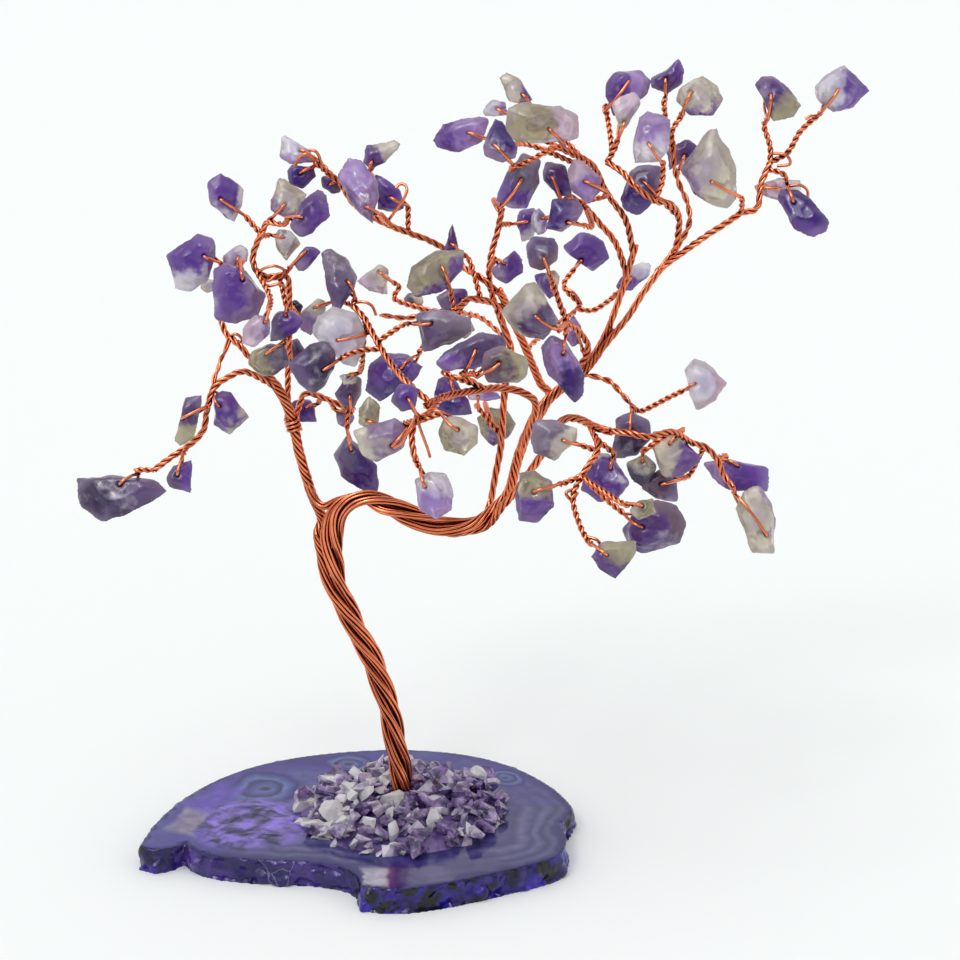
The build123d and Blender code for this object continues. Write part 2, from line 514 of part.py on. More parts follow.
def reach(outline, start, heading):
    """Distance from a point inside a convex outline to its rim along a heading."""
    nearest = []
    for (ax, ay), (bx, by) in zip(outline, outline[1:] + outline[:1]):
        out = Vector(by - ay, ax - bx)
        facing = out.X * heading.X + out.Y * heading.Y
        away = out.X * (ax - start.X) + out.Y * (ay - start.Y)
        if facing * away > 0:
            nearest.append(away / facing)
    return min(nearest)


def breadth(outline):
    """Mean breadth of an outline: its area against its length."""
    edges = zip(outline, outline[1:] + outline[:1])
    area = abs(sum(ax * by - bx * ay for (ax, ay), (bx, by) in edges)) / 2
    return area / max(hypot(ax - bx, ay - by) for ax, ay in outline for bx, by in outline)


Chip = namedtuple("Chip", "plane corners hole half eye stem")


def shape_chip(stone, order, branches):
    """Corners, drilled hole, wire eye and stem of one stone, from its row."""
    columns, rows = zip(*stone.outline)
    centre = ((min(columns) + max(columns)) / 2, (min(rows) + max(rows)) / 2)
    middle = spot(centre, stone.depth_share * CROWN_DEPTH)
    scale = MM_PER_PX * (middle - EYE).length / VIEW_DISTANCE
    outline = [((x - centre[0]) * scale, (centre[1] - y) * scale) for x, y in stone.outline]
    half = breadth(outline) * THICKNESS_SHARES[order % len(THICKNESS_SHARES)] / 2
    pitch = radians(VIEW_PITCH)
    plane = Plane(middle, x_dir=(1, 0, 0), z_dir=(0, -cos(pitch), sin(pitch)))
    plane = plane.rotated((TILT * (order % 3 - 1), 0, TILT * ((order // 3) % 3 - 1)))

    aim = plane.to_local_coords(spot(stone.hole, middle.Y))
    hole = Vector(aim.X, aim.Y)
    limit = reach(outline, Vector(0, 0), hole.normalized()) * HOLE_REACH_SHARE
    hole = hole * min(1.0, limit / hole.length)
    front = [hole + (Vector(x, y) - hole) * FRONT_SHARE for x, y in outline]
    back = [hole + (Vector(x, y) - hole) * BACK_SHARE for x, y in outline]
    corners = [(x, y, half * WAVE_SHARE * 2 * (index % 2)) for index, (x, y) in enumerate(outline)]
    corners += [(point.X, point.Y, half) for point in front]
    corners += [(point.X, point.Y, -half) for point in back]

    start = stone.stem[0]
    level = start[2] * CROWN_DEPTH if len(start) > 2 else middle.Y
    root = near(spot(start[:2], level), *branches)[0]
    stem = [root]
    for index, row in enumerate(stone.stem[1:], start=1):
        level = root.Y + (middle.Y - root.Y) * index / len(stone.stem)
        stem.append(spot(row[:2], row[2] * CROWN_DEPTH if len(row) > 2 else level))
    last = plane.to_local_coords(stem[-1])
    heading = (Vector(last.X, last.Y) - hole).normalized()
    rim = reach(outline, hole, heading)
    head = hole + heading * (rim + HEAD_GAP)
    lift = Vector(0, 0, half + EYE_GAP)
    spread = Vector(0, 0, WIRE_DIAMETER * EYE_SPREAD_SHARE)
    bend = heading * EYE_GAP * EYE_BEND_SHARE
    eye = [
        head + spread + heading * WIRE_DIAMETER,
        head + spread,
        hole + heading * rim * FRONT_SHARE + bend + lift,
        hole + lift,
        hole - lift,
        hole + heading * rim * BACK_SHARE + bend - lift,
        head - spread,
        head - spread + heading * WIRE_DIAMETER,
    ]
    tip = plane.from_local_coords(head)
    bends = [point for point in stem[1:] if (point - tip).length > 2 * PAIR_DIAMETER]
    eye = [plane.from_local_coords(point) for point in eye]
    return Chip(plane, corners, hole, half, eye, [root, *bends, tip])


def tube(points, diameter, sides):
    """Wire along straight runs, added to the part that is being built."""
    with BuildLine() as path:
        Polyline(*points)
    with BuildSketch(Plane(path.line @ 0, z_dir=path.line % 0)) as section:
        RegularPolygon(diameter / 2, sides)
    sweep(sections=section.sketch, path=path.line, transition=Transition.RIGHT)


def finish(part, label):
    """Name a finished piece and write it."""
    part.part.label = label
    export_step(part.part, f"parts/{label}.step")


os.makedirs("parts", exist_ok=True)

# Agate slice
raw_runs = [[on_slice(pixel) for pixel in run] for run in SLICE_RUNS_PX]
raw_points = [point for run in raw_runs for point in run]
raw_left, raw_right = min(point.X for point in raw_points), max(point.X for point in raw_points)
raw_front, raw_back = min(point.Y for point in raw_points), max(point.Y for point in raw_points)
length_scale = SLICE_LENGTH / (raw_right - raw_left)
depth_scale = SLICE_DEPTH / (raw_back - raw_front)
top_runs = [[(point.X * length_scale, point.Y * depth_scale) for point in run] for run in raw_runs]
middle_x = (raw_left + raw_right) / 2 * length_scale
middle_y = (raw_front + raw_back) / 2 * depth_scale


def slice_runs(margin):
    """Outline of the slice, stood out from the sawn face by a margin."""
    wider, deeper = 1 + 2 * margin / SLICE_LENGTH, 1 + 2 * margin / SLICE_DEPTH
    return [
        [(middle_x + (x - middle_x) * wider, middle_y + (y - middle_y) * deeper) for x, y in run]
        for run in top_runs
    ]


slice_levels = [
    (0, SLICE_FLARE),
    (SLICE_THICKNESS - SLICE_EDGE, SLICE_EDGE),
    (SLICE_THICKNESS, 0),
]

with BuildPart() as agate_slice:
    for height, margin in slice_levels:
        with BuildSketch(Plane.XY.offset(height)):
            with BuildLine():
                for run in slice_runs(margin):
                    Spline(*run)
            make_face()
    loft(ruled=True)
finish(agate_slice, "agate_slice")

# Trunk: a core of straight wires with an outer layer wound round it
trunk_points = [Vector(0, 0, SLICE_THICKNESS + FOOT_CLEARANCES * CLEARANCE)] + route(TRUNK_PX_SHARES)
trunk_places = stations(trunk_points, TRUNK_STATIONS)
trunk_line = [place[0] for place in trunk_places]

with BuildPart() as trunk_core:
    tube(trunk_line, CORE_DIAMETER, CORE_SIDES)
finish(trunk_core, "trunk_core")

with BuildPart() as trunk_strands:
    for strand in wound(trunk_places, TRUNK_STRANDS, STRAND_CIRCLE, TRUNK_LAY):
        tube(strand, STRAND_DIAMETER, STRAND_SIDES)
finish(trunk_strands, "trunk_strands")

# Roots: wire ends splayed on the slice, inside the glue
root_angles = [2 * pi * (index + 0.5) / ROOT_COUNT for index in range(ROOT_COUNT)]
root_start = TRUNK_DIAMETER / 2 + ROOT_DIAMETER / 2 + CLEARANCE
root_level = SLICE_THICKNESS + ROOT_DIAMETER / 2 + CLEARANCE
root_routes = []
for angle in root_angles:
    outward, sideways = Vector(cos(angle), sin(angle)), Vector(-sin(angle), cos(angle))
    root_routes.append([
        outward * root_start + Vector(0, 0, root_level + ROOT_DIAMETER),
        outward * (root_start + ROOT_DIAMETER) + Vector(0, 0, root_level),
        outward * ROOT_LENGTH + sideways * ROOT_DIAMETER + Vector(0, 0, root_level),
    ])

with BuildPart() as root_wires:
    for points in root_routes:
        tube(points, ROOT_DIAMETER, STRAND_SIDES)
finish(root_wires, "root_wires")

# Glue: a low dome with room for the trunk and the roots
dome_radius = (MOUND_RADIUS**2 + MOUND_HEIGHT**2) / (2 * MOUND_HEIGHT)
dome_centre = SLICE_THICKNESS + MOUND_HEIGHT - dome_radius

dome_corners = []
for share in DOME_SHARES:
    height = SLICE_THICKNESS + MOUND_HEIGHT * share
    ring_radius = sqrt(dome_radius**2 - (height - dome_centre)**2)
    for angle in (2 * pi * side / MOUND_SIDES for side in range(MOUND_SIDES)):
        dome_corners.append((ring_radius * cos(angle), ring_radius * sin(angle), height))

with BuildPart() as glue_bed:
    ConvexPolyhedron(dome_corners)
    with BuildSketch(Plane.XY.offset(SLICE_THICKNESS)):
        RegularPolygon(TRUNK_DIAMETER / 2 + CLEARANCE, MOUND_SIDES // 2, major_radius=False)
    extrude(amount=MOUND_HEIGHT, mode=Mode.SUBTRACT)
    for points in root_routes:
        with BuildLine() as groove:
            Polyline(*points)
        with BuildSketch(Plane(groove.line @ 0, z_dir=groove.line % 0)):
            RegularPolygon(ROOT_DIAMETER / 2 + CLEARANCE, STRAND_SIDES)
        sweep(path=groove.line, transition=Transition.RIGHT, mode=Mode.SUBTRACT)
finish(glue_bed, "glue_bed")

# Gravel: shards set on the dome in a spiral, sorted into three tones
gravel_inside = TRUNK_DIAMETER / 2 + GRAVEL_LENGTH * GRAVEL_MARGIN_SHARE
gravel_outside = MOUND_RADIUS - GRAVEL_LENGTH * GRAVEL_MARGIN_SHARE


def gravel_plane(index):
    """Seat of one shard on the dome."""
    share = index / (GRAVEL_COUNT - 1)
    distance = sqrt(gravel_inside**2 + (gravel_outside**2 - gravel_inside**2) * share)
    angle = index * GOLDEN_TURN
    lean = distance / dome_radius
    normal = Vector(cos(angle) * lean, sin(angle) * lean, sqrt(1 - lean**2))
    origin = Vector(0, 0, dome_centre) + normal * (dome_radius + CLEARANCE)
    spin = index * index * GOLDEN_TURN
    side = Vector(cos(spin), sin(spin), 0)
    return Plane(origin, x_dir=side - normal * side.dot(normal), z_dir=normal)


for tone, label in enumerate(GRAVEL_TONES):
    with BuildPart() as gravel:
        for index in range(tone, GRAVEL_COUNT, len(GRAVEL_TONES)):
            shard = SHARD_SHARES[index // len(GRAVEL_TONES) % len(SHARD_SHARES)]
            place = gravel_plane(index)
            ConvexPolyhedron([
                place.from_local_coords((x * GRAVEL_LENGTH, y * GRAVEL_WIDTH, z * GRAVEL_HEIGHT))
                for x, y, z in shard
            ])
    finish(gravel, label)

# Limbs: twisted ropes, each seated on its parent
ropes = {"trunk": (trunk_line, TRUNK_DIAMETER / 2)}
for limb in LIMB_PX_SHARES:
    rope_radius = WIRE_DIAMETER * sqrt(limb.wires) / 2 * ROPE_PACKING
    strand_ratio = sin(pi / limb.strands) * STRAND_FILL_SHARE
    circle = rope_radius / (1 + strand_ratio)
    points = seat(route(limb.points), *ropes[limb.parent], rope_radius)
    places = stations(points, 2 * len(points))
    ropes[limb.name] = ([place[0] for place in places], rope_radius)
    with BuildPart() as rope:
        for strand in wound(places, limb.strands, circle, LIMB_LAY):
            tube(strand, 2 * circle * strand_ratio, STRAND_SIDES)
    finish(rope, limb.name)

# Sprigs: twigs and eyes as one wire, and the chips that they hold
order = 0
for sprig in SPRIG_PX_SHARES:
    branches = [seat(route(rows), *ropes[sprig.parent], PAIR_DIAMETER / 2) for rows in sprig.branches]
    chips = []
    for stone in sprig.stones:
        chips.append(shape_chip(stone, order, branches))
        order += 1

    with BuildPart() as twigs:
        for points in branches:
            tube(points, PAIR_DIAMETER, PAIR_SIDES)
        for chip in chips:
            tube(chip.stem, PAIR_DIAMETER, PAIR_SIDES)
            tube(chip.eye, WIRE_DIAMETER, WIRE_SIDES)
    finish(twigs, f"{sprig.name}_wires")

    with BuildPart() as stones:
        for chip in chips:
            ConvexPolyhedron([chip.plane.from_local_coords(corner) for corner in chip.corners])
            drill = chip.plane.offset(-2 * chip.half)
            with BuildSketch(drill):
                with Locations((chip.hole.X, chip.hole.Y)):
                    RegularPolygon(HOLE_DIAMETER / 2, HOLE_SIDES)
            extrude(amount=4 * chip.half, mode=Mode.SUBTRACT)
    finish(stones, f"{sprig.name}_chips")
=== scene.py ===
"""Looks of the gemstone tree: copper wire, amethyst chips and an agate slice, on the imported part."""

import json
from collections import namedtuple
from math import ceil, cos, hypot, pi, radians, sin, sqrt
from random import Random

import bmesh
import bpy
import numpy as np
from mathutils import Matrix, Vector, kdtree, noise

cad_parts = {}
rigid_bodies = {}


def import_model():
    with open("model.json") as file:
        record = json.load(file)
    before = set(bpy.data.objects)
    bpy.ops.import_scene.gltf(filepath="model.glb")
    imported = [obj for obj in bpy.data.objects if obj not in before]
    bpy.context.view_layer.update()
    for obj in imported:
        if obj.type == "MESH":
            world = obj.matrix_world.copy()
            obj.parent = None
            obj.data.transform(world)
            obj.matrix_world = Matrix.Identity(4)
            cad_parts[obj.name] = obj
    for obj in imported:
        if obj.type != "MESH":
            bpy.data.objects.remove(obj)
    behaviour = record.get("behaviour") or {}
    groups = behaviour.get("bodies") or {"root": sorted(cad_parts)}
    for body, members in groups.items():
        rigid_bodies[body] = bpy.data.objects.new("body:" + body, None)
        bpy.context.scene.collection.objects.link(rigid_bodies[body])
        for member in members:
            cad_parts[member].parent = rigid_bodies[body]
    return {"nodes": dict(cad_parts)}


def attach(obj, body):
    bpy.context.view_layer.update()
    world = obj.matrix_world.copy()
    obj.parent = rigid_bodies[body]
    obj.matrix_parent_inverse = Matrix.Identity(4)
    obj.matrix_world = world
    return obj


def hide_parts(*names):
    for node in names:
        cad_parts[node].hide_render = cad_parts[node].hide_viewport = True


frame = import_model()

bl_info = {
    "name": "Gemstone Tree",
    "version": (1, 0, 0),
    "blender": (4, 5, 0),
    "location": "View3D > Sidebar > Gemstone Tree",
    "description": "Wire tree with amethyst chips on an agate slice",
    "category": "Object",
}

MM = 0.001

# The part's own sizes: lengths in millimetres, angles in degrees, and shares of what they are named for
CROWN_SPAN = 157.0
CROWN_DEPTH = 100.0
VIEW_DISTANCE = 600.0
VIEW_PITCH = 18.4
SLICE_THICKNESS = 5.0
MOUND_RADIUS = 20.0
MOUND_HEIGHT = 4.0
GRAVEL_HEIGHT = 2.2
TRUNK_DIAMETER = 4.9
WIRE_DIAMETER = 0.6
CLEARANCE = 0.12
PAIR_DIAMETER = WIRE_DIAMETER * sqrt(2)
EYE_GAP = WIRE_DIAMETER * 0.55 + CLEARANCE
HEAD_GAP = WIRE_DIAMETER * 1.9
FOOT_HEIGHT = SLICE_THICKNESS + MOUND_HEIGHT + GRAVEL_HEIGHT
DOME_RADIUS = (MOUND_RADIUS**2 + MOUND_HEIGHT**2) / (2 * MOUND_HEIGHT)
DOME_CENTRE = SLICE_THICKNESS + MOUND_HEIGHT - DOME_RADIUS
THICKNESS_SHARES = [.76, .84, .92]
FRONT_SHARE = .52
BACK_SHARE = .46
SHOULDER_SHARE = .9
SHOULDER_RISE = .55
HOLE_REACH_SHARE = .6
TILT = 11.0
ROPE_PACKING = 1.12
LIMB_ROOT = 7.0
TWIG_ROOT = 3.0

# Pixel readings, all in a picture of 960 by 960
PICTURE_SIDE = 960
PICTURE_CENTRE = PICTURE_SIDE / 2
FOOT_PX = (402, 782)
CROWN_LEFT_PX = 72
CROWN_RIGHT_PX = 871
MM_PER_PX = CROWN_SPAN / (CROWN_RIGHT_PX - CROWN_LEFT_PX)

# A rope or branch is a line of pixels, each with a share of the crown's depth. A stone's tones are two names,
# the direction of the second in degrees and, on some stones, a shift of the border between them
Limb = namedtuple("Limb", "name wires parent points")
Sprig = namedtuple("Sprig", "name parent branches stones")
Stone = namedtuple("Stone", "outline depth_share hole stem tones")

TRUNK_PX_SHARES = [
    (402, 782, 0), (397, 750, .004), (388, 705, .014), (373, 662, .024), (352, 622, .028), (333, 585, .022),
    (323, 553, .01), (323, 530, -.002), (331, 511, -.012), (346, 502, -.02), (365, 501, -.026),
    (390, 507, -.03), (417, 518, -.03), (443, 526, -.026), (468, 527, -.018), (488, 519, -.01),
    (502, 505, -.004), (510, 489, 0),
]

LIMB_PX_SHARES = [
    Limb("left_limb", 9, "trunk", [
        (326, 532, .03), (322, 518, .036), (313, 497, .03), (307, 479, .024), (300, 455, .02),
        (294, 428, .015), (287, 405, .01), (276, 386, .005), (264, 373, 0)]),
    Limb("right_limb", 9, "trunk", [
        (510, 489, 0), (517, 462, 0), (525, 439, 0), (535, 417, 0), (549, 399, .005), (568, 383, .005),
        (587, 367, 0), (601, 347, 0), (611, 328, 0)]),
    Limb("upright_limb", 4, "trunk", [
        (478, 522, .03), (490, 503, .044), (495, 478, .048), (501, 445, .05), (503, 412, .05),
        (506, 380, .05), (511, 352, .06), (505, 331, .065), (499, 314, .065)]),
    Limb("centre_limb", 6, "right_limb", [
        (534, 418, .01), (549, 398, .055), (541, 384, .06), (533, 366, .055), (523, 342, .05),
        (514, 323, .045), (506, 304, .035), (499, 290, .02)]),
    Limb("front_limb", 5, "right_limb", [
        (527, 436, -.03), (536, 408, -.06), (524, 393, -.08), (500, 388, -.1), (478, 390, -.14),
        (455, 394, -.19), (438, 399, -.24), (426, 406, -.28)]),
    Limb("low_right_limb", 5, "trunk", [
        (494, 514, -.04), (523, 482, -.055), (549, 443, -.07), (562, 421, -.1), (578, 419, -.14),
        (595, 427, -.19), (611, 432, -.22)]),
    Limb("crown_rope_left", 4, "right_limb", [
        (611, 328, 0), (620, 297, .015), (629, 268, .015), (636, 245, .01)]),
    Limb("crown_rope_right", 4, "right_limb", [
        (603, 343, -.01), (627, 318, -.03), (641, 296, -.03), (657, 274, -.025), (673, 253, -.02),
        (680, 241, -.02)]),
]

SPRIG_PX_SHARES = [
    Sprig("left_low", "left_limb", [
        [(272, 381, 0), (246, 372, -.03), (229, 377, -.04), (214, 388, -.05), (207, 410, -.06),
         (203, 431, -.07), (188, 446, -.08), (170, 458, -.09), (154, 470, -.09)]], [
        Stone([(71, 478), (121, 475), (158, 480), (170, 490), (152, 502), (126, 516), (104, 522),
               (81, 508)],
              -.09, (121, 486), [(154, 470), (137, 470)], ("dusk", "smoke", 200)),
        Stone([(185, 398), (202, 393), (202, 407), (195, 438), (182, 448), (175, 441)],
              -.11, (183, 419), [(206, 413)], ("dusk", "olive", 270)),
        Stone([(213, 398), (221, 392), (230, 393), (251, 416), (230, 435), (213, 427)],
              -.05, (222, 405), [(212, 393)], ("violet", "cream", -50, .1)),
        Stone([(166, 479), (172, 464), (192, 458), (194, 467), (191, 493), (170, 487)],
              -.13, (178, 477), [(187, 447)], ("violet", "dusk", 180)),
    ]),
    Sprig("left_outer", "left_limb", [
        [(264, 373, 0), (250, 358, .005), (238, 343, .01), (227, 335, .03), (221, 318, .05),
         (221, 296, .06), (230, 276, .06)]], [
        Stone([(211, 286), (213, 268), (226, 263), (246, 270), (266, 294), (258, 318), (236, 325),
               (216, 319)],
              -.01, (245, 277), [(228, 282), (242, 262, .05)], ("violet", "mauve", 0)),
        Stone([(167, 256), (198, 233), (213, 240), (215, 256), (207, 280), (190, 291), (173, 291)],
              .05, (205, 254), [(231, 274), (224, 264)], ("violet", "white", 262)),
        Stone([(222, 256), (232, 249), (241, 244), (248, 248), (248, 262), (238, 268), (222, 264)],
              .1, (238, 258), [(230, 277), (234, 270, .075)], ("white", "lilac", 250)),
        Stone([(199, 288), (205, 278), (214, 279), (220, 290), (207, 294)],
              .12, (214, 284), [(221, 300)], ("cream", "white", 0)),
    ]),
    Sprig("left_heart", "left_limb", [
        [(284, 398, .02), (288, 372, .05), (289, 345, .06), (289, 318, .05), (289, 292, .03),
         (286, 276, .01), (268, 277, 0), (256, 270, -.01), (253, 256, 0), (259, 238, 0), (267, 222, 0)]], [
        Stone([(241, 342), (242, 328), (257, 314), (270, 317), (271, 335), (252, 347)],
              -.125, (266, 320), [(270, 277), (270, 296, -.06)], ("pink", "mauve", 30)),
        Stone([(270, 323), (276, 313), (292, 312), (302, 321), (298, 333), (285, 342), (271, 342)],
              -.06, (287, 316), [(288, 287), (287, 303, -.03)], ("violet", "dusk", 200)),
        Stone([(285, 304), (296, 298), (305, 305), (303, 314), (290, 314)],
              .1, (294, 306), [(289, 290)], ("dusk", "smoke", 0)),
        Stone([(248, 366), (252, 353), (269, 343), (286, 343), (288, 360), (278, 374), (262, 379)],
              -.06, (268, 353), [(289, 350), (284, 342, -.02)], ("olive", "dusk", 20)),
        Stone([(284, 342), (298, 338), (304, 352), (297, 368), (285, 362)],
              .12, (291, 350), [(289, 336)], ("dusk", "smoke", 0)),
        Stone([(294, 264), (306, 246), (316, 247), (322, 252), (303, 272), (297, 271)],
              -.01, (306, 250), [(287, 277), (290, 268)], ("violet", "mauve", 190)),
        Stone([(275, 239), (279, 230), (292, 231), (302, 244), (286, 260), (277, 250)],
              .04, (284, 237), [(262, 232)], ("cream", "white", 90)),
        Stone([(290, 226), (301, 203), (320, 189), (328, 194), (330, 216), (313, 232), (300, 238)],
              -.06, (301, 222), [(266, 225), (284, 224)], ("plum", "violet", -30)),
        Stone([(270, 198), (279, 176), (286, 177), (307, 195), (300, 211), (289, 221), (271, 209)],
              .02, (284, 205), [(267, 222)], ("cream", "mauve", 215)),
        Stone([(209, 180), (222, 172), (233, 179), (244, 190), (242, 207), (233, 224), (211, 202)],
              .0, (219, 198), [(261, 234), (247, 217)], ("violet", "white", -40, .1)),
    ]),
    Sprig("upper_left", "centre_limb", [
        [(499, 290, .02), (480, 277, .03), (466, 269, .06), (453, 256, .08), (441, 247, .08),
         (428, 240, .07), (409, 233, .06), (391, 226, .05), (371, 216, .07), (353, 203, .08),
         (340, 183, .08), (327, 173, .06)]], [
        Stone([(336, 175), (345, 155), (359, 159), (375, 177), (379, 198), (376, 226), (351, 202)],
              .02, (370, 213), [(391, 226)], ("lilac", "mauve", 270)),
        Stone([(364, 163), (366, 146), (394, 140), (400, 144), (386, 163), (371, 169)],
              .1, (374, 162), [(362, 209), (372, 180, .13)], ("plum", "cream", 20)),
        Stone([(374, 176), (388, 180), (400, 191), (406, 208), (397, 212), (378, 211)],
              .09, (392, 196), [(402, 230), (410, 206, .09)], ("violet", "deep", 200)),
        Stone([(279, 137), (284, 133), (295, 140), (308, 151), (315, 163), (290, 165), (280, 158)],
              .09, (300, 152), [(328, 174), (321, 162)], ("white", "lilac", 250)),
        Stone([(287, 170), (292, 165), (315, 167), (318, 177), (303, 189), (290, 184)],
              .075, (300, 174), [(327, 173), (316, 163, .05)], ("deep", "plum", 0)),
        Stone([(322, 175), (339, 180), (341, 193), (331, 195), (321, 188)],
              .1, (330, 184), [(333, 176)], ("plum", "brown", 0)),
    ]),
    Sprig("mid_left", "front_limb", [
        [(426, 406, -.28), (406, 381, -.22), (393, 366, -.17), (379, 345, -.12), (365, 319, -.06),
         (352, 305, -.03)]], [
        Stone([(322, 251), (331, 247), (347, 257), (356, 277), (353, 292), (336, 313), (330, 309),
               (325, 275)],
              -.02, (346, 283), [(352, 305), (354, 297)], ("dusk", "grey", 100)),
        Stone([(286, 362), (310, 344), (328, 342), (336, 353), (335, 370), (324, 385), (312, 393),
               (296, 382)],
              -.14, (321, 371), [(377, 345), (364, 350), (347, 355)], ("smoke", "dusk", 200)),
        Stone([(313, 330), (318, 311), (335, 306), (358, 314), (367, 340), (355, 369), (340, 366)],
              -.075, (335, 338), [(378, 347)], ("white", "white", 0)),
        Stone([(337, 376), (347, 372), (359, 376), (358, 385), (343, 386)],
              .0, (348, 376), [(383, 351), (362, 362, -.05)], ("cream", "white", 90)),
        Stone([(300, 330), (303, 312), (316, 297), (325, 302), (322, 318), (312, 336)],
              .02, (315, 308), [(357, 311), (336, 299, .01)], ("mauve", "cream", 80)),
        Stone([(412, 316), (434, 311), (471, 314), (472, 328), (452, 346), (425, 353)],
              -.1, (433, 322), [(382, 349), (401, 326)], ("grey", "dusk", 200)),
    ]),
    Sprig("low_left", "left_limb", [
        [(290, 414, .03), (303, 396, .06), (316, 395, .08), (338, 404, .08), (354, 409, .06)]], [
        Stone([(286, 412), (293, 401), (310, 399), (319, 424), (303, 424), (285, 420)],
              .11, (306, 409), [(318, 396)], ("deep", "violet", 0)),
        Stone([(334, 394), (347, 377), (361, 377), (361, 393), (355, 407), (342, 407)],
              .05, (350, 395), [(347, 407)], ("dusk", "brown", 40)),
        Stone([(334, 454), (347, 433), (361, 447), (377, 465), (380, 495), (361, 492), (340, 477)],
              .05, (352, 449), [(340, 405), (345, 422)], ("dusk", "deep", -30)),
        Stone([(338, 412), (348, 408), (354, 418), (348, 428), (339, 424)],
              .11, (344, 414), [(330, 401)], ("mauve", "dusk", 90)),
    ]),
    Sprig("front_left", "front_limb", [
        [(478, 390, -.14), (470, 380, -.17), (461, 373, -.18)]], [
        Stone([(433, 362), (442, 350), (484, 333), (507, 335), (508, 348), (480, 367), (443, 369)],
              -.17, (474, 350), [(461, 373)], ("dusk", "violet", 250)),
        Stone([(478, 364), (485, 350), (503, 346), (528, 360), (529, 378), (517, 385), (487, 380)],
              -.235, (497, 361), [(470, 380), (474, 374, -.22)], ("brown", "olive", 0)),
        Stone([(432, 392), (436, 378), (448, 375), (471, 401), (474, 415), (457, 417), (434, 410)],
              -.11, (456, 393), [(465, 376), (446, 374, -.14)], ("violet", "deep", 250)),
    ]),
    Sprig("front_low", "front_limb", [
        [(438, 399, -.25), (428, 414, -.31), (416, 420, -.33), (412, 440, -.36), (416, 462, -.38)]], [
        Stone([(413, 481), (426, 471), (443, 474), (455, 495), (453, 509), (439, 520), (420, 511)],
              -.4, (427, 487), [(416, 462), (418, 466)], ("lilac", "white", 60)),
        Stone([(437, 433), (443, 418), (462, 417), (478, 424), (479, 442), (466, 456), (446, 452)],
              -.36, (460, 428), [(426, 415), (443, 414)], ("cream", "olive", 200)),
        Stone([(391, 401), (400, 385), (413, 383), (419, 392), (416, 409), (401, 413)],
              -.34, (408, 400), [(422, 417)], ("violet", "dusk", 250)),
        Stone([(356, 408), (369, 396), (380, 406), (381, 422), (370, 429), (358, 424)],
              -.2, (368, 421), [(416, 420, -.33), (402, 424), (386, 428)], ("olive", "cream", 120)),
        Stone([(351, 430), (370, 428), (395, 417), (409, 429), (404, 447), (377, 463), (362, 454)],
              -.3, (392, 444), [(412, 438)], ("mauve", "cream", 215)),
    ]),
    Sprig("centre_left", "centre_limb", [
        [(506, 304, .03), (487, 301, .01), (470, 299, -.01), (460, 307, -.04), (453, 311, -.05)]], [
        Stone([(404, 287), (412, 267), (438, 250), (466, 249), (464, 268), (440, 293), (413, 299)],
              -.04, (440, 268), [(453, 311), (452, 299)], ("olive", "violet", -50)),
        Stone([(442, 250), (449, 230), (454, 221), (458, 249), (450, 254)],
              .03, (450, 244), [(472, 298), (470, 262, .03)], ("plum", "dusk", 90)),
        Stone([(436, 296), (449, 289), (467, 291), (469, 305), (456, 313), (441, 308)],
              .03, (460, 299), [(484, 301)], ("mauve", "violet", 0)),
        Stone([(364, 392), (368, 364), (381, 354), (407, 354), (423, 366), (412, 383), (381, 404)],
              -.03, (403, 371), [(461, 306), (446, 334, .0), (423, 347, -.02)], ("deep", "violet", 90)),
    ]),
    Sprig("back_left", "upright_limb", [
        [(505, 333, .07), (482, 318, .15), (456, 312, .24), (432, 311, .3), (408, 318, .3),
         (380, 315, .28)]], [
        Stone([(356, 282), (379, 264), (387, 268), (389, 294), (369, 292)],
              .3, (381, 272), [(432, 311), (409, 305), (394, 298), (399, 287)], ("cream", "pink", 250)),
        Stone([(401, 300), (408, 293), (420, 294), (424, 302), (414, 308)],
              .36, (414, 302), [(424, 313)], ("grey", "cream", 0)),
        Stone([(448, 334), (455, 322), (470, 320), (477, 330), (466, 340)],
              .2, (464, 327), [(480, 318)], ("olive", "cream", 0)),
    ]),
    Sprig("centre_high", "upright_limb", [
        [(499, 314, .065), (493, 298, .05), (489, 277, .04), (491, 256, .03), (497, 234, .05),
         (502, 208, .05)],
        [(502, 428, .05), (488, 414, .1)]], [
        Stone([(475, 417), (489, 407), (505, 408), (516, 424), (510, 435), (494, 446), (480, 435)],
              .17, (490, 424), [(488, 414)], ("olive", "violet", 270)),
        Stone([(466, 393), (480, 388), (498, 392), (502, 398), (488, 402), (468, 400)],
              .02, (478, 396), [(490, 416), (478, 408, .05)], ("pink", "lilac", 0)),
        Stone([(491, 270), (516, 249), (523, 258), (523, 273), (506, 285), (495, 279)],
              -.03, (503, 266), [(491, 290)], ("violet", "mauve", 200)),
        Stone([(516, 224), (521, 210), (535, 208), (540, 224), (531, 241), (519, 243)],
              .1, (527, 222), [(500, 218)], ("violet", "white", -60)),
        Stone([(494, 199), (510, 166), (525, 153), (542, 161), (539, 185), (527, 209), (512, 210)],
              -.04, (519, 178), [(502, 208), (494, 200, .03)], ("grey", "violet", 250, -.15)),
    ]),
    Sprig("heart", "right_limb", [
        [(568, 383, .005), (587, 354, -.03), (581, 334, -.06), (566, 323, -.1)]], [
        Stone([(527, 245), (533, 237), (554, 238), (559, 247), (557, 260), (542, 272), (530, 268)],
              -.12, (546, 260), [(566, 323), (559, 302), (553, 283)], ("dusk", "brown", 280)),
        Stone([(532, 275), (554, 268), (561, 275), (558, 294), (550, 300), (539, 287)],
              -.06, (552, 286), [(561, 308)], ("violet", "cream", 10)),
        Stone([(499, 314), (524, 284), (533, 281), (548, 305), (558, 318), (547, 341), (522, 337)],
              -.18, (538, 313), [(566, 322)], ("cream", "dusk", -30, -.05)),
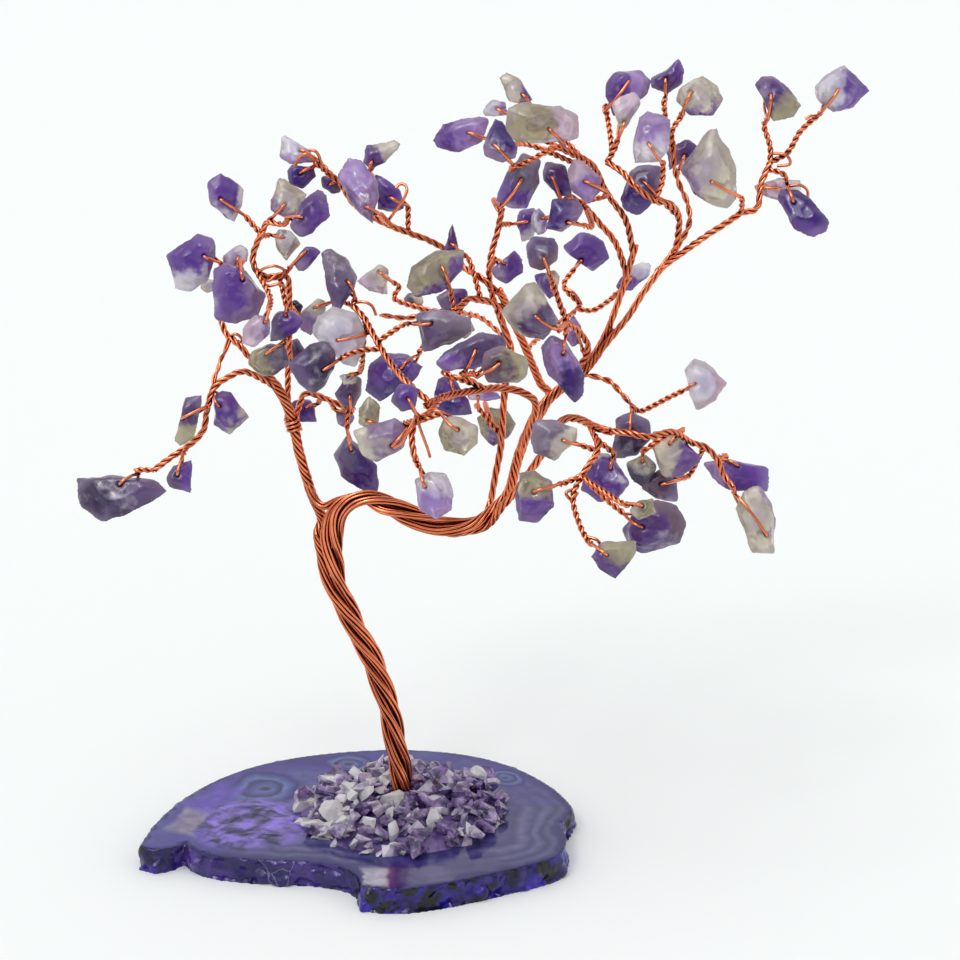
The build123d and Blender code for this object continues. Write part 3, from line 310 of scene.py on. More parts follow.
        Stone([(540, 346), (551, 335), (566, 340), (586, 376), (585, 393), (575, 406), (548, 376)],
              -.14, (563, 354), [(569, 325), (566, 332, -.13)], ("lilac", "deep", -70, -.1)),
        Stone([(566, 324), (573, 315), (581, 325), (580, 343), (573, 349), (566, 340)],
              .0, (574, 326), [(585, 345)], ("lilac", "mauve", 0)),
    ]),
    Sprig("back_right", "centre_limb", [
        [(523, 342, .05), (546, 332, .16), (572, 314, .28), (581, 305, .32)]], [
        Stone([(563, 246), (577, 233), (588, 233), (604, 241), (611, 258), (593, 272), (579, 264)],
              .34, (581, 259), [(578, 309), (564, 286), (571, 274)], ("violet", "white", 270, .35)),
        Stone([(615, 287), (627, 268), (642, 260), (653, 263), (650, 275), (632, 291), (619, 291)],
              .3, (630, 280), [(580, 306), (594, 310), (612, 298)], ("violet", "white", 50)),
    ]),
    Sprig("top_centre", "crown_rope_left", [
        [(636, 245, .01), (626, 221, 0), (613, 202, .0), (604, 188, .01), (593, 166, -.01),
         (572, 153, -.06), (556, 147, -.09), (549, 150, -.1)]], [
        Stone([(498, 76), (506, 70), (520, 79), (533, 101), (527, 105), (508, 99)],
              .0, (520, 95), [(560, 148), (544, 118, -.02)], ("cream", "violet", -20)),
        Stone([(504, 124), (508, 107), (525, 102), (562, 105), (579, 118), (578, 140), (556, 142),
               (512, 139)],
              -.14, (546, 128), [(566, 151), (562, 146, -.1)], ("olive", "pink", -20)),
        Stone([(483, 147), (493, 116), (502, 120), (520, 147), (518, 160), (504, 164), (485, 157)],
              -.08, (496, 148), [(549, 150), (514, 168, -.07)], ("deep", "mauve", 250)),
        Stone([(432, 141), (441, 124), (479, 114), (490, 118), (484, 141), (460, 153), (437, 149)],
              .12, (470, 134), [(549, 150), (534, 146, -.03), (512, 144, .04)], ("lilac", "violet", 215)),
        Stone([(482, 112), (492, 99), (506, 101), (508, 114), (496, 118), (484, 118)],
              .06, (498, 108), [(550, 149), (534, 134, -.02)], ("white", "lilac", 0)),
    ]),
    Sprig("top_heart", "crown_rope_left", [
        [(629, 268, .015), (616, 244, .03), (600, 224, .04), (584, 206, .03), (570, 196, .02)]], [
        Stone([(544, 180), (546, 162), (565, 164), (573, 182), (571, 199), (557, 197)],
              -.01, (551, 178), [(570, 196), (560, 204)], ("plum", "deep", 270)),
        Stone([(567, 172), (573, 157), (582, 160), (600, 178), (601, 193), (590, 205), (573, 193)],
              -.08, (584, 182), [(598, 222), (605, 196, -.01)], ("pink", "lilac", -60)),
        Stone([(545, 229), (552, 200), (577, 198), (584, 208), (577, 224), (562, 233)],
              -.085, (567, 221), [(606, 231), (592, 226, -.05)], ("deep", "mauve", -30)),
        Stone([(532, 214), (540, 205), (546, 217), (546, 230), (538, 235), (531, 228)],
              .06, (541, 220), [(570, 196)], ("white", "lilac", 0)),
    ]),
    Sprig("top_bridge", "crown_rope_right", [
        [(680, 241, -.02), (679, 226, -.03), (677, 212, -.05), (668, 203, -.07), (655, 201, -.09),
         (636, 187, -.1), (622, 172, -.08), (607, 162, -.05)]], [
        Stone([(604, 97), (606, 82), (615, 73), (642, 71), (652, 82), (648, 95), (630, 108), (612, 117)],
              .03, (627, 82), [(607, 162), (612, 150), (606, 108, .04)], ("lilac", "violet", 200)),
        Stone([(611, 103), (619, 95), (636, 92), (640, 103), (627, 128), (619, 132)],
              -.04, (622, 121), [(607, 162), (614, 150)], ("cream", "pink", 90)),
        Stone([(619, 199), (628, 170), (636, 165), (659, 166), (659, 185), (650, 208), (640, 216),
               (625, 210)],
              -.02, (644, 184), [(672, 207)], ("dusk", "deep", 265)),
        Stone([(634, 143), (636, 117), (646, 111), (669, 120), (669, 147), (659, 162), (636, 164)],
              -.1, (650, 145), [(658, 202), (662, 182), (663, 164)], ("lilac", "white", 275)),
    ]),
    Sprig("top_right", "crown_rope_right", [
        [(673, 253, -.02), (688, 228, .01), (688, 205, .03), (680, 186, .04), (674, 166, .03),
         (673, 146, .02)]], [
        Stone([(651, 80), (678, 57), (684, 67), (684, 82), (669, 92), (653, 88)],
              .065, (667, 78), [(673, 146), (666, 122, .05), (664, 104, .04)], ("plum", "violet", 60)),
        Stone([(675, 101), (680, 89), (703, 74), (718, 86), (724, 99), (714, 118), (690, 116)],
              .0, (691, 95), [(673, 146), (672, 131), (682, 115)], ("cream", "violet", 280, .3)),
        Stone([(667, 151), (671, 147), (688, 139), (702, 151), (688, 162), (669, 170)],
              .06, (684, 156), [(675, 170)], ("plum", "mauve", 200)),
    ]),
    Sprig("far_right", "crown_rope_right", [
        [(670, 258, -.03), (700, 240, -.05), (725, 224, -.05), (742, 213, -.04), (757, 208, -.03),
         (761, 184, -.02), (770, 163, -.01)]], [
        Stone([(681, 170), (690, 157), (707, 130), (716, 128), (735, 164), (737, 198), (728, 209),
               (694, 194)],
              -.06, (710, 180), [(744, 212), (741, 197)], ("cream", "mauve", 165, .1)),
        Stone([(755, 84), (762, 75), (774, 75), (790, 90), (802, 106), (793, 118), (771, 123)],
              .0, (766, 98), [(770, 163), (770, 146), (764, 126)], ("plum", "olive", -60)),
        Stone([(815, 86), (825, 74), (845, 66), (856, 76), (871, 92), (852, 108), (831, 112), (818, 101)],
              .02, (834, 91), [(770, 163), (788, 152), (800, 132), (816, 117)],
              ("white", "violet", -35, -.35)),
        Stone([(761, 193), (764, 181), (780, 178), (805, 181), (802, 193), (776, 199)],
              .07, (778, 188), [(760, 190)], ("pink", "white", 0)),
        Stone([(777, 199), (780, 189), (797, 189), (814, 203), (830, 222), (829, 234), (816, 237),
               (795, 231)],
              -.03, (794, 203), [(767, 168), (783, 174)], ("deep", "violet", 250)),
    ]),
    Sprig("right_mid", "right_limb", [
        [(587, 367, 0), (607, 380, -.02), (621, 393, -.04), (634, 408, -.05)]], [
        Stone([(683, 371), (692, 357), (713, 366), (727, 382), (719, 400), (698, 412)],
              -.03, (696, 384), [(634, 408), (642, 411), (668, 398)], ("white", "pink", 0)),
        Stone([(614, 419), (630, 413), (648, 419), (651, 437), (637, 455), (614, 460)],
              -.085, (632, 430), [(634, 408)], ("smoke", "dusk", 90)),
    ]),
    Sprig("low_right", "low_right_limb", [
        [(611, 432, -.22), (628, 433, -.24), (650, 437, -.24), (672, 432, -.2), (692, 443, -.15),
         (705, 447, -.14), (716, 458, -.14), (724, 476, -.14), (733, 487, -.15)]], [
        Stone([(653, 432), (676, 430), (701, 458), (683, 478), (664, 476), (653, 449)],
              -.16, (669, 445), [(648, 437)], ("cream", "violet", -40, -.1)),
        Stone([(625, 462), (644, 455), (655, 467), (644, 490), (630, 480)],
              -.16, (642, 462), [(640, 435), (645, 450, -.2)], ("smoke", "olive", 90)),
        Stone([(641, 478), (660, 467), (678, 481), (677, 501), (655, 501), (641, 490)],
              -.14, (660, 482), [(704, 446), (690, 474, -.11)], ("brown", "dusk", 0)),
        Stone([(703, 462), (731, 459), (771, 469), (768, 494), (727, 490), (711, 478)],
              -.08, (737, 467), [(714, 455), (726, 456, -.1)], ("violet", "lilac", 180)),
        Stone([(734, 506), (743, 489), (761, 485), (772, 504), (776, 531), (772, 555), (750, 552)],
              -.14, (762, 535), [(733, 487)], ("cream", "mauve", 10, .4)),
    ]),
    Sprig("low_front", "low_right_limb", [
        [(595, 427, -.19), (598, 448, -.25), (588, 466, -.28), (581, 476, -.29)]], [
        Stone([(529, 435), (536, 419), (559, 419), (578, 430), (577, 444), (554, 462), (531, 451)],
              -.27, (560, 438), [(596, 440)], ("grey", "cream", -50)),
        Stone([(580, 492), (587, 466), (593, 452), (607, 453), (631, 483), (620, 497), (600, 504)],
              -.215, (612, 471), [(598, 449), (612, 452, -.22)], ("violet", "white", 70, .2)),
        Stone([(513, 495), (517, 473), (531, 471), (551, 479), (556, 507), (540, 523), (519, 523)],
              -.32, (535, 492), [(581, 475), (565, 483)], ("olive", "violet", 270)),
        Stone([(622, 533), (634, 511), (655, 498), (676, 502), (686, 520), (680, 540), (646, 555),
               (630, 549)],
              -.33, (645, 524), [(581, 476), (606, 499), (622, 513)], ("plum", "brown", 70)),
        Stone([(630, 511), (639, 500), (655, 496), (658, 514), (637, 521)],
              -.4, (642, 507), [(604, 497), (622, 503, -.38)], ("olive", "cream", 180)),
        Stone([(591, 557), (602, 543), (637, 540), (637, 552), (616, 582), (604, 572)],
              -.4, (607, 555), [(581, 476), (573, 498), (579, 523), (588, 541)], ("plum", "olive", 50, .2)),
    ]),
]

# Runs of the trunk's bundles, which each become a limb: pixels with a depth share
TRUNK_RUNS = {
    "low": [(402, 782, 0), (397, 750, .004), (388, 705, .014), (373, 662, .024), (353, 622, .028),
            (338, 590, .02)],
    "left": [(324, 556, .018), (318, 535, .022)],
    "loop": [(333, 560, .006), (332, 535, -.006), (338, 515, -.014), (350, 504, -.02), (367, 501, -.026),
             (390, 507, -.03), (417, 518, -.03), (443, 526, -.026), (468, 527, -.018)],
    "right": [(488, 519, -.01), (502, 505, -.004), (510, 489, 0)],
    "up": [(482, 520, .012)],
    "down": [(486, 519, -.02), (505, 503, -.045)],
    "arch": [(306, 478, .024), (313, 496, .022), (324, 506, .012), (340, 500, 0), (360, 497, -.012)],
}
Bundle = namedtuple("Bundle", "limb runs wires circle offset turn")
TRUNK_BUNDLES = [
    Bundle("left_limb", ("low", "left"), 7, .72, 1.3, 0),
    Bundle("right_limb", ("low", "loop", "right"), 7, .72, 1.3, 112),
    Bundle("upright_limb", ("low", "loop", "up"), 4, .42, 1.5, 200),
    Bundle("low_right_limb", ("low", "loop", "down"), 5, .5, 1.45, 268),
]
ARCH_FROM_PX = (382, 501, -.03)
ARCH_TO_PX = (488, 519, -.01)
PEBBLE_PX = (476, 787)
COLLAR_PX = (288, 426)

# Loose ends, loops and links of single wire: pixels at the depth of the nearest branch or at a depth share
LOOSE_PX = {
    "upper_left": [
        [(314, 166), (311, 157), (305, 154), (299, 158), (295, 166)],
        [(323, 170), (319, 156), (315, 151), (309, 150)],
        [(391, 219), (396, 210), (402, 202), (407, 191), (405, 185), (400, 184), (396, 188)],
    ],
    "left_heart": [
        [(257, 273), (265, 268), (275, 266), (284, 270), (281, 277), (272, 279), (264, 274)],
        [(261, 283), (268, 286), (279, 284), (286, 288)],
        [(252, 270), (259, 277), (268, 281), (276, 275)],
    ],
    "left_outer": [
        [(229, 338), (236, 334), (242, 339), (240, 346), (233, 343)],
        [(229, 338), (225, 348, .008), (223, 357, -.006), (218, 366, -.022), (216, 376, -.036),
         (213, 389, -.05)],
        [(231, 339), (226, 351, .002), (220, 359, -.014), (219, 369, -.026), (213, 378, -.04),
         (214, 391, -.052)],
    ],
    "mid_left": [[(353, 304), (364, 302), (372, 306), (376, 315)]],
    "far_right": [
        [(777, 188), (788, 186), (800, 185), (807, 190), (808, 198)],
        [(773, 154), (786, 155), (790, 164), (777, 166)],
        [(817, 117), (811, 116), (805, 119)],
    ],
    "front_left": [[(454, 371), (466, 377), (475, 369), (478, 358)]],
    "back_right": [[(562, 288), (574, 293), (581, 303)]],
    "front_low": [
        [(416, 411), (420, 428), (427, 447), (430, 457)],
        [(412, 415), (408, 431), (402, 443), (394, 448)],
        [(424, 413), (436, 411), (447, 415), (458, 424)],
    ],
    "low_front": [[(589, 536), (597, 540), (602, 548)], [(571, 486), (566, 493), (572, 500), (578, 492)]],
}

# Wound wires, lengths in millimetres: the trunk's core, the arch, the collar, the branches and loose ends
ROUTE_STEP = .7
TWIST_STEP = .36
CORE_WIRES = 4
CORE_CIRCLES = (.5, .4)
CORE_PHASE = .4
FAN_BEFORE = 9.0
FAN_AFTER = 1.0
ARCH_WIRES = 5
ARCH_CIRCLES = (.5, .4)
ARCH_ROOM = (1.3, 1.2)
ARCH_SKIP = 6
LIMB_TIGHTENING = .8
COLLAR_STEPS = 2
COLLAR_FINENESS = 8
COLLAR_LAY = WIRE_DIAMETER * 1.3
PAIR_CIRCLES = (WIRE_DIAMETER / 2, WIRE_DIAMETER / 2)
STOUT_FROM_STONES = 4
STOUT_WIRES = 3
STOUT_CIRCLES = (.36, .34)
LOOSE_SWAY = .9
LOOSE_WAVE = .9
TRUNK_ROUNDNESS = 2
WIRE_ROUNDNESS = 1

# Wandering of wound wires: how far, and the noise that leads it along a wire and from wire to wire
ROPE_WANDER = .3
TWIG_WANDER = .35
WANDER_ALONG = .23
WANDER_APART = 7.3
WANDER_FINENESS = 1.7
WANDER_OFFSET = Vector((31, 0, 0))

# Gravel: lengths and lifts in millimetres, widths and heights as shares of the length, angles in radians
GRAVEL_SEED = 7
GOLDEN_TURN = pi * (3 - sqrt(5))
GRAVEL_INSIDE = TRUNK_DIAMETER / 2 + .9
GRAVEL_OUTSIDE = MOUND_RADIUS + .3
LARGE_LENGTHS = (4.2, 7.6)
FLAKE_LENGTHS = (4.0, 6.4)
SMALL_LENGTHS = (2.2, 4.8)
LARGE_LIFTS = (.7, 1.7)
SMALL_LIFTS = (.3, 1.7)
SMALL_SINKING = 1.2
SHARD_SHARES = ((.45, .85), (.4, .7))
FLAKE_SHARES = (.42, .24)
SHARD_STRAY = .3
SHARD_TIP = .7
SHARD_CORNERS = 10
FLAKE_FROM = .6
FLAKE_TURN = .6
FLAKE_SIDE = .2
FLAKE_CHANCE = .6
RIGHT_FROM = .1
RIGHT_WEIGHTS = (7, 3, 1)
LEFT_WEIGHTS = (3, 3, 4)
PEBBLE_RADIUS = 2.5
PEBBLE_LIFT = 1.6
PEBBLE_FLATNESS = .8
PEBBLE_CORNERS = 30

# Shards by tone: slot, material and its two tones
SHARD_CLEARNESS = .5
SHARD_LOOKS = {
    "violet": ("amethyst_deep", "shard_violet", (50, 28, 90), (176, 146, 210)),
    "pale": ("amethyst_pale", "shard_pale", (136, 112, 166), (238, 228, 244)),
    "clear": ("quartz_clear", "shard_clear", (232, 226, 232), (255, 255, 255)),
}

# Chips by kind: slot, material, clearness and roughness
CHIP_LOOKS = (
    ("amethyst_deep", "chip_deep", .4, .12),
    ("amethyst_pale", "chip_clear", .6, .1),
    ("amethyst_smoky", "chip_smoky", .25, .16),
)
DEEP_KIND, CLEAR_KIND, SMOKY_KIND = range(3)

# Slice: shares of height and relief, grains of the relief in metres, margin in millimetres, angle in degrees
STEEP = .8
RIND_HEIGHTS = (.04, .97)
RIND_FADE = 5
RIND_PASSES = 6
LUMP_GRAIN = .0065
LUMP_SHARE = 1.5
LUMP_LEVEL = .5
KNOB_GRAIN = .0034
KNOB_LEVEL = .4
RIM_HEIGHT = .8
FACE_MARGIN = .5
FACE_ANGLE = 35

# Chips: grains of the relief in metres, shares of its depth; the first two values are the slice's too
MERGE_DISTANCE = .000002
SMOOTHING = .5
SWELL_GRAIN = .005
SWELL_LEVEL = .4
NICK_GRAIN = .005
NICK_SHARE = .5
NICK_LEVEL = .45
LAST_PASSES = 2

# Stage: places in metres, turns in degrees, sensor in millimetres, and directions of what reflections show
SENSOR = 36.0
FLOOR_SIZE = 60
SOFTBOX_PLACE = (-.3, -.4, 1.0)
SOFTBOX_TURN = (18, -12, 0)
SMALL_LAMP_PLACE = (-.5, -.5, .8)
SMALL_LAMP_TURN = (38, -26, 0)
SMALL_LAMP_SPREAD = 12
ROOM_WAY = (0, -.95, .3)
ROOM_EDGES = (.2, .9)
LAMP_WAY = (-.42, -.5, .757)
LAMP_EDGES = (.86, .95)
WHITE_WALLS = .97

# Copper's tones, as red, green and blue from 0 to 255, with a painted shade for the creases between wires and
# a painted highlight for their ridges, and the reach of that painted shade in metres
COPPER_BRIGHT = (224, 110, 72)
COPPER_TARNISHED = (162, 58, 34)
COPPER_PAINTED_SHADE = (60, 11, 4)
COPPER_PAINTED_HIGHLIGHT = (255, 160, 114)
PAINTED_SHADE_REACH = .0009

# Sawn face: places as pixels, lengths in millimetres, turns in degrees, and tones at shares of a length
BANDS_PX = (((520, 826), 36), ((300, 856), 24))
BAND_REACH = 16.0
DARK_FRONT_PX = (450, 884)
DARK_FRONT_RADIUS = 22
EYES_PX = (((264, 789), 9.0), ((503, 779), 5.0), ((345, 764), 6.0))
CRYSTALS_PX = (252, 824)
CRYSTALS_RADIUS = 14
FACE_PATCHES_PX = (
    ((189, 819), (3.0, 7.0), -15, (150, 142, 158)),
    # A pale patch at the front of the face.
    ((370, 876), (3.0, 4.6), 0, (196, 190, 202)),
    ((425, 874), (5.4, 3.6), 0, (96, 88, 128)),
    ((470, 866), (6.0, 3.0), 12, (78, 72, 118)),
    ((214, 797), (4.5, 6.5), -30, (98, 72, 182)),
    ((528, 797), (4.5, 6.0), 20, (70, 64, 134)),
)
PATCH_EDGES = (.72, 1.15)
FACE_TONES = (
    (.3, (22, 14, 84)), (.42, (46, 34, 124)), (.52, (68, 54, 144)), (.62, (78, 80, 144)),
    (.74, (106, 110, 160)))
BAND_TONES = (
    (.0, (26, 16, 92)), (.1, (40, 36, 98)), (.17, (84, 84, 130)), (.25, (48, 46, 100)), (.36, (96, 96, 140)),
    (.44, (56, 54, 106)), (.58, (102, 100, 142)), (.68, (60, 56, 108)), (.84, (84, 78, 128)),
    (1.0, (50, 40, 110)))
EYE_TONES = (
    (.0, (20, 20, 50)), (.12, (48, 52, 98)), (.2, (88, 100, 160)), (.38, (52, 62, 134)), (.45, (30, 32, 92)),
    (.55, (96, 110, 170)), (.72, (56, 62, 140)), (.8, (36, 28, 110)), (1.0, (56, 44, 132)))

# Rind: where its smoother skin begins and ends to the left, in metres
SMOOTH_SKIN_FROM = (-.014, -.006)
SMOOTH_SKIN_TO = (-.05, -.04)

# Tones of the stones, as red, green and blue from 0 to 255
TONES = {
    "deep": (70, 36, 130),
    "violet": (114, 70, 166),
    "plum": (104, 66, 138),
    "lilac": (184, 150, 212),
    "mauve": (158, 130, 174),
    "white": (242, 238, 242),
    "pink": (238, 214, 230),
    "cream": (230, 222, 198),
    "olive": (188, 180, 140),
    "grey": (136, 122, 142),
    "dusk": (104, 82, 126),
    "smoke": (64, 47, 82),
    "brown": (112, 84, 100),
}
CLEAR_TONES = ("white", "pink", "lilac", "cream", "olive")
SMOKY_TONES = ("grey", "dusk", "smoke", "brown")


def ray(pixel):
    """Direction from the eye through a pixel, with unit length along the line of sight."""
    across = (pixel[0] - PICTURE_CENTRE) * MM_PER_PX / VIEW_DISTANCE
    rise = (PICTURE_CENTRE - pixel[1]) * MM_PER_PX / VIEW_DISTANCE
    pitch = radians(VIEW_PITCH)
    return Vector((across, cos(pitch) + rise * sin(pitch), rise * cos(pitch) - sin(pitch)))


EYE = Vector((0, 0, FOOT_HEIGHT)) - ray(FOOT_PX) * VIEW_DISTANCE
RIGHT = Vector((1, 0, 0))
UP = Vector((0, sin(radians(VIEW_PITCH)), cos(radians(VIEW_PITCH))))


def spot(pixel, depth):
    """Point on a pixel's ray at a distance behind the trunk's plane."""
    sight = ray(pixel)
    return EYE + sight * ((depth - EYE.y) / sight.y)


def on_slice(pixel):
    """Point on a pixel's ray at the height of the sawn face."""
    sight = ray(pixel)
    return EYE + sight * ((SLICE_THICKNESS - EYE.z) / sight.z)


def route(rows):
    """Points of a rope or branch from its rows of pixel and depth share."""
    return [spot(row[:2], row[2] * CROWN_DEPTH) for row in rows]


def near(point, *lines):
    """Nearest point on lines of straight runs, with the direction of its run."""
    found = []
    for line in lines:
        for start, end in zip(line, line[1:]):
            run = end - start
            along = max(0.0, min(1.0, (point - start).dot(run) / run.dot(run)))
            foot = start + run * along
            found.append(((point - foot).length, foot, run.normalized()))
    return min(found, key=lambda item: item[0])[1:]


def closest(line, place):
    """Index of the point of a line that is closest to a place."""
    return min(range(len(line)), key=lambda index: (line[index] - place).length)


def rooted(points, parent, back):
    """Let a rope start inside its parent, a little way back from where it leaves."""
    foot = closest(parent, points[0])
    length = 0.0
    starts = []
    for index in range(foot, 0, -1):
        length += (parent[index] - parent[index - 1]).length
        if len(starts) < 2 and length >= back * (len(starts) + 1) / 2:
            starts.insert(0, parent[index - 1])
    return starts + points[1:] if starts else [parent[foot]] + points[1:]


def smooth_line(points, step):
    """Closely spaced points on a smooth curve through the given points."""
    padded = [2 * points[0] - points[1], *points, 2 * points[-1] - points[-2]]
    line = []
    for before, start, end, after in zip(padded, padded[1:], padded[2:], padded[3:]):
        count = max(2, ceil((end - start).length / step))
        for index in range(count):
            t = index / count
            line.append(0.5 * (
                2 * start + (end - before) * t + (2 * before - 5 * start + 4 * end - after) * t**2
                + (3 * start - before - 3 * end + after) * t**3))
    return line + [points[-1].copy()]


def carried(line):
    """Points of a line with two directions across it, carried along without twist, and the length so far."""
    heading = (line[1] - line[0]).normalized()
    side = (RIGHT - heading * RIGHT.dot(heading)).normalized()
    length = 0.0
    rows = []
    for index, point in enumerate(line):
        before, after = line[max(index - 1, 0)], line[min(index + 1, len(line) - 1)]
        heading = (after - before).normalized()
        side = (side - heading * side.dot(heading)).normalized()
        length += (point - before).length
        rows.append((point, side, heading.cross(side), length))
    return rows


def wind(line, count, circles, lays, change=None, phase=0.0, wander=0.0):
    """Wires wound round a line; circle and lay go from the first to the second value over the change."""
    rows = carried(line)
    low, high = change or (0.0, rows[-1][3])
    wires = [[] for _ in range(count)]
    turned, before = phase, 0.0
    for point, side, up, length in rows:
        share = max(0.0, min(1.0, (length - low) / (high - low)))
        share = share * share * (3 - 2 * share)
        circle = circles[0] + (circles[1] - circles[0]) * share
        turned += 2 * pi * (length - before) * ((1 - share) / lays[0] + share / lays[1])
        before = length
        for index, wire in enumerate(wires):
            place = Vector((length * WANDER_ALONG, index * WANDER_APART, phase))
            angle = turned + 2 * pi * index / count + wander * noise.noise(place)
            away = circle * (1 + wander / 3 * noise.noise(place * WANDER_FINENESS + WANDER_OFFSET))
            wire.append(point + (side * cos(angle) + up * sin(angle)) * away)
    return wires


def reach(outline, start, heading):
    """Distance from a point inside a convex outline to its rim along a heading."""
    nearest = []
    for (ax, ay), (bx, by) in zip(outline, outline[1:] + outline[:1]):
        facing = (by - ay) * heading.x + (ax - bx) * heading.y
        away = (by - ay) * (ax - start.x) + (ax - bx) * (ay - start.y)
        if facing * away > 0:
            nearest.append(away / facing)
    return min(nearest)


def breadth(outline):
    """Mean breadth of an outline: its area against its length."""
    edges = zip(outline, outline[1:] + outline[:1])
    area = abs(sum(ax * by - bx * ay for (ax, ay), (bx, by) in edges)) / 2
    return area / max(hypot(ax - bx, ay - by) for ax, ay in outline for bx, by in outline)


Chip = namedtuple("Chip", "stone middle axes extent eye stem")


def shape_chip(stone, order, branches):
    """Place, eye and stem of one stone, from its row."""
    columns, rows = zip(*stone.outline)
    centre = ((min(columns) + max(columns)) / 2, (min(rows) + max(rows)) / 2)
    middle = spot(centre, stone.depth_share * CROWN_DEPTH)
    scale = MM_PER_PX * (middle - EYE).length / VIEW_DISTANCE
    outline = [((x - centre[0]) * scale, (centre[1] - y) * scale) for x, y in stone.outline]
    half = breadth(outline) * THICKNESS_SHARES[order % len(THICKNESS_SHARES)] / 2
    base = Matrix((RIGHT, UP, RIGHT.cross(UP))).transposed()
    lean = Matrix.Rotation(radians(TILT * (order % 3 - 1)), 3, "X")
    axes = lean @ Matrix.Rotation(radians(TILT * ((order // 3) % 3 - 1)), 3, "Z") @ base

    aim = axes.transposed() @ (spot(stone.hole, middle.y) - middle)
    hole = Vector((aim.x, aim.y))
    limit = reach(outline, Vector((0, 0)), hole.normalized()) * HOLE_REACH_SHARE
    hole = hole * min(1.0, limit / hole.length)

    start = stone.stem[0]
    level = start[2] * CROWN_DEPTH if len(start) > 2 else middle.y
    root = near(spot(start[:2], level), *branches)[0]
    stem = [root]
    for index, row in enumerate(stone.stem[1:], start=1):
        level = root.y + (middle.y - root.y) * index / len(stone.stem)
        stem.append(spot(row[:2], row[2] * CROWN_DEPTH if len(row) > 2 else level))
    last = axes.transposed() @ (stem[-1] - middle)
    heading = (Vector((last.x, last.y)) - hole).normalized()
    rim = reach(outline, hole, heading)

    def placed(point, height):
        return middle + axes @ Vector((point.x, point.y, height))

    head = hole + heading * (rim + HEAD_GAP)
    spread = WIRE_DIAMETER / 2
    lift = half + EYE_GAP
    eye = [
        placed(head, spread),
        placed(hole + heading * (rim * SHOULDER_SHARE + EYE_GAP), half * SHOULDER_RISE + spread),
        placed(hole + heading * rim * FRONT_SHARE, lift),
        placed(hole + heading * WIRE_DIAMETER, lift),
        placed(hole, lift - WIRE_DIAMETER),
        placed(hole, WIRE_DIAMETER - lift),
        placed(hole + heading * WIRE_DIAMETER, -lift),
        placed(hole + heading * rim * BACK_SHARE, -lift),
        placed(hole + heading * (rim * SHOULDER_SHARE + EYE_GAP), -half * SHOULDER_RISE - spread),
        placed(head, -spread),
    ]
    tip = placed(head, 0)
    bends = [point for point in stem[1:] if (point - tip).length > 2 * PAIR_DIAMETER]
    extent = Vector(((max(columns) - min(columns)) * scale / 2, (max(rows) - min(rows)) * scale / 2, half))
    return Chip(stone, middle, axes, extent, eye, [root, *bends, tip])


Twig = namedtuple("Twig", "sprig branches chips")


def lay_out_tree():
    """Lines of the trunk and the limbs with their radii, and the twigs with their chips."""
    trunk = smooth_line([Vector((0, 0, SLICE_THICKNESS))] + route(TRUNK_PX_SHARES), ROUTE_STEP)
    ropes = {"trunk": (trunk, TRUNK_DIAMETER / 2)}
    for limb in LIMB_PX_SHARES:
        radius = WIRE_DIAMETER * sqrt(limb.wires) / 2 * ROPE_PACKING
        points = rooted(route(limb.points), ropes[limb.parent][0], LIMB_ROOT)
        ropes[limb.name] = (smooth_line(points, ROUTE_STEP), radius)
    twigs = []
    order = 0
    for sprig in SPRIG_PX_SHARES:
        branches = [
            smooth_line(rooted(route(rows), ropes[sprig.parent][0], TWIG_ROOT), ROUTE_STEP)
            for rows in sprig.branches]
        chips = []
        for stone in sprig.stones:
            chips.append(shape_chip(stone, order, branches))
            order += 1
        twigs.append(Twig(sprig, branches, chips))
    return ropes, twigs


def bundle_line(bundle):
    """Middle of one bundle of the trunk, the index where it leaves the trunk, and that length."""
    rows = [row for name in bundle.runs for row in TRUNK_RUNS[name]]
    leave = len(rows)
    limb = next((limb for limb in LIMB_PX_SHARES if limb.name == bundle.limb), None)
    if limb:
        rows = rows + limb.points[1:]
    start = [Vector((0, 0, SLICE_THICKNESS))] if bundle.runs[0] == "low" else []
    line = smooth_line(start + route(rows), ROUTE_STEP)
    cut = closest(line, route(rows)[leave - 1])
    length = sum((after - before).length for before, after in zip(line[:cut], line[1:cut + 1]))
    return line, cut, length


def linear(tone):
    """Colour for a socket from red, green and blue of 0 to 255."""
    parts = [value / 255 for value in tone]
    return (*[v / 12.92 if v <= .04045 else ((v + .055) / 1.055) ** 2.4 for v in parts], 1.0)


def add_node(tree, kind, inputs=None, **settings):
    """Node with its settings, and with values or links on its inputs."""
    made = tree.nodes.new(kind)
    for name, value in settings.items():
        setattr(made, name, value)
    for name, value in (inputs or {}).items():
        if isinstance(value, bpy.types.NodeSocket):
            tree.links.new(value, made.inputs[name])
        else:
            made.inputs[name].default_value = value
    return made


def mix(tree, factor, first, second, blend="MIX"):
    """Colour between two others, each a socket, a colour or a tone of 0 to 255."""
    made = tree.nodes.new("ShaderNodeMix")
    made.data_type = "RGBA"
    made.blend_type = blend
    for index, value in ((0, factor), (6, first), (7, second)):
        if isinstance(value, bpy.types.NodeSocket):
            tree.links.new(value, made.inputs[index])
        elif isinstance(value, tuple) and len(value) == 3:
            made.inputs[index].default_value = linear(value)
        else:
            made.inputs[index].default_value = value
    return made.outputs[2]


def ramp(tree, value, stops):
    """Colour ramp from stops of position and tone."""
    made = add_node(tree, "ShaderNodeValToRGB", {"Fac": value})
    elements = made.color_ramp.elements
    for element, (position, tone) in zip(elements, (stops[0], stops[-1])):
        element.position = position
        element.color = linear(tone)
    for position, tone in stops[1:-1]:
        elements.new(position).color = linear(tone)
    return made.outputs["Color"]


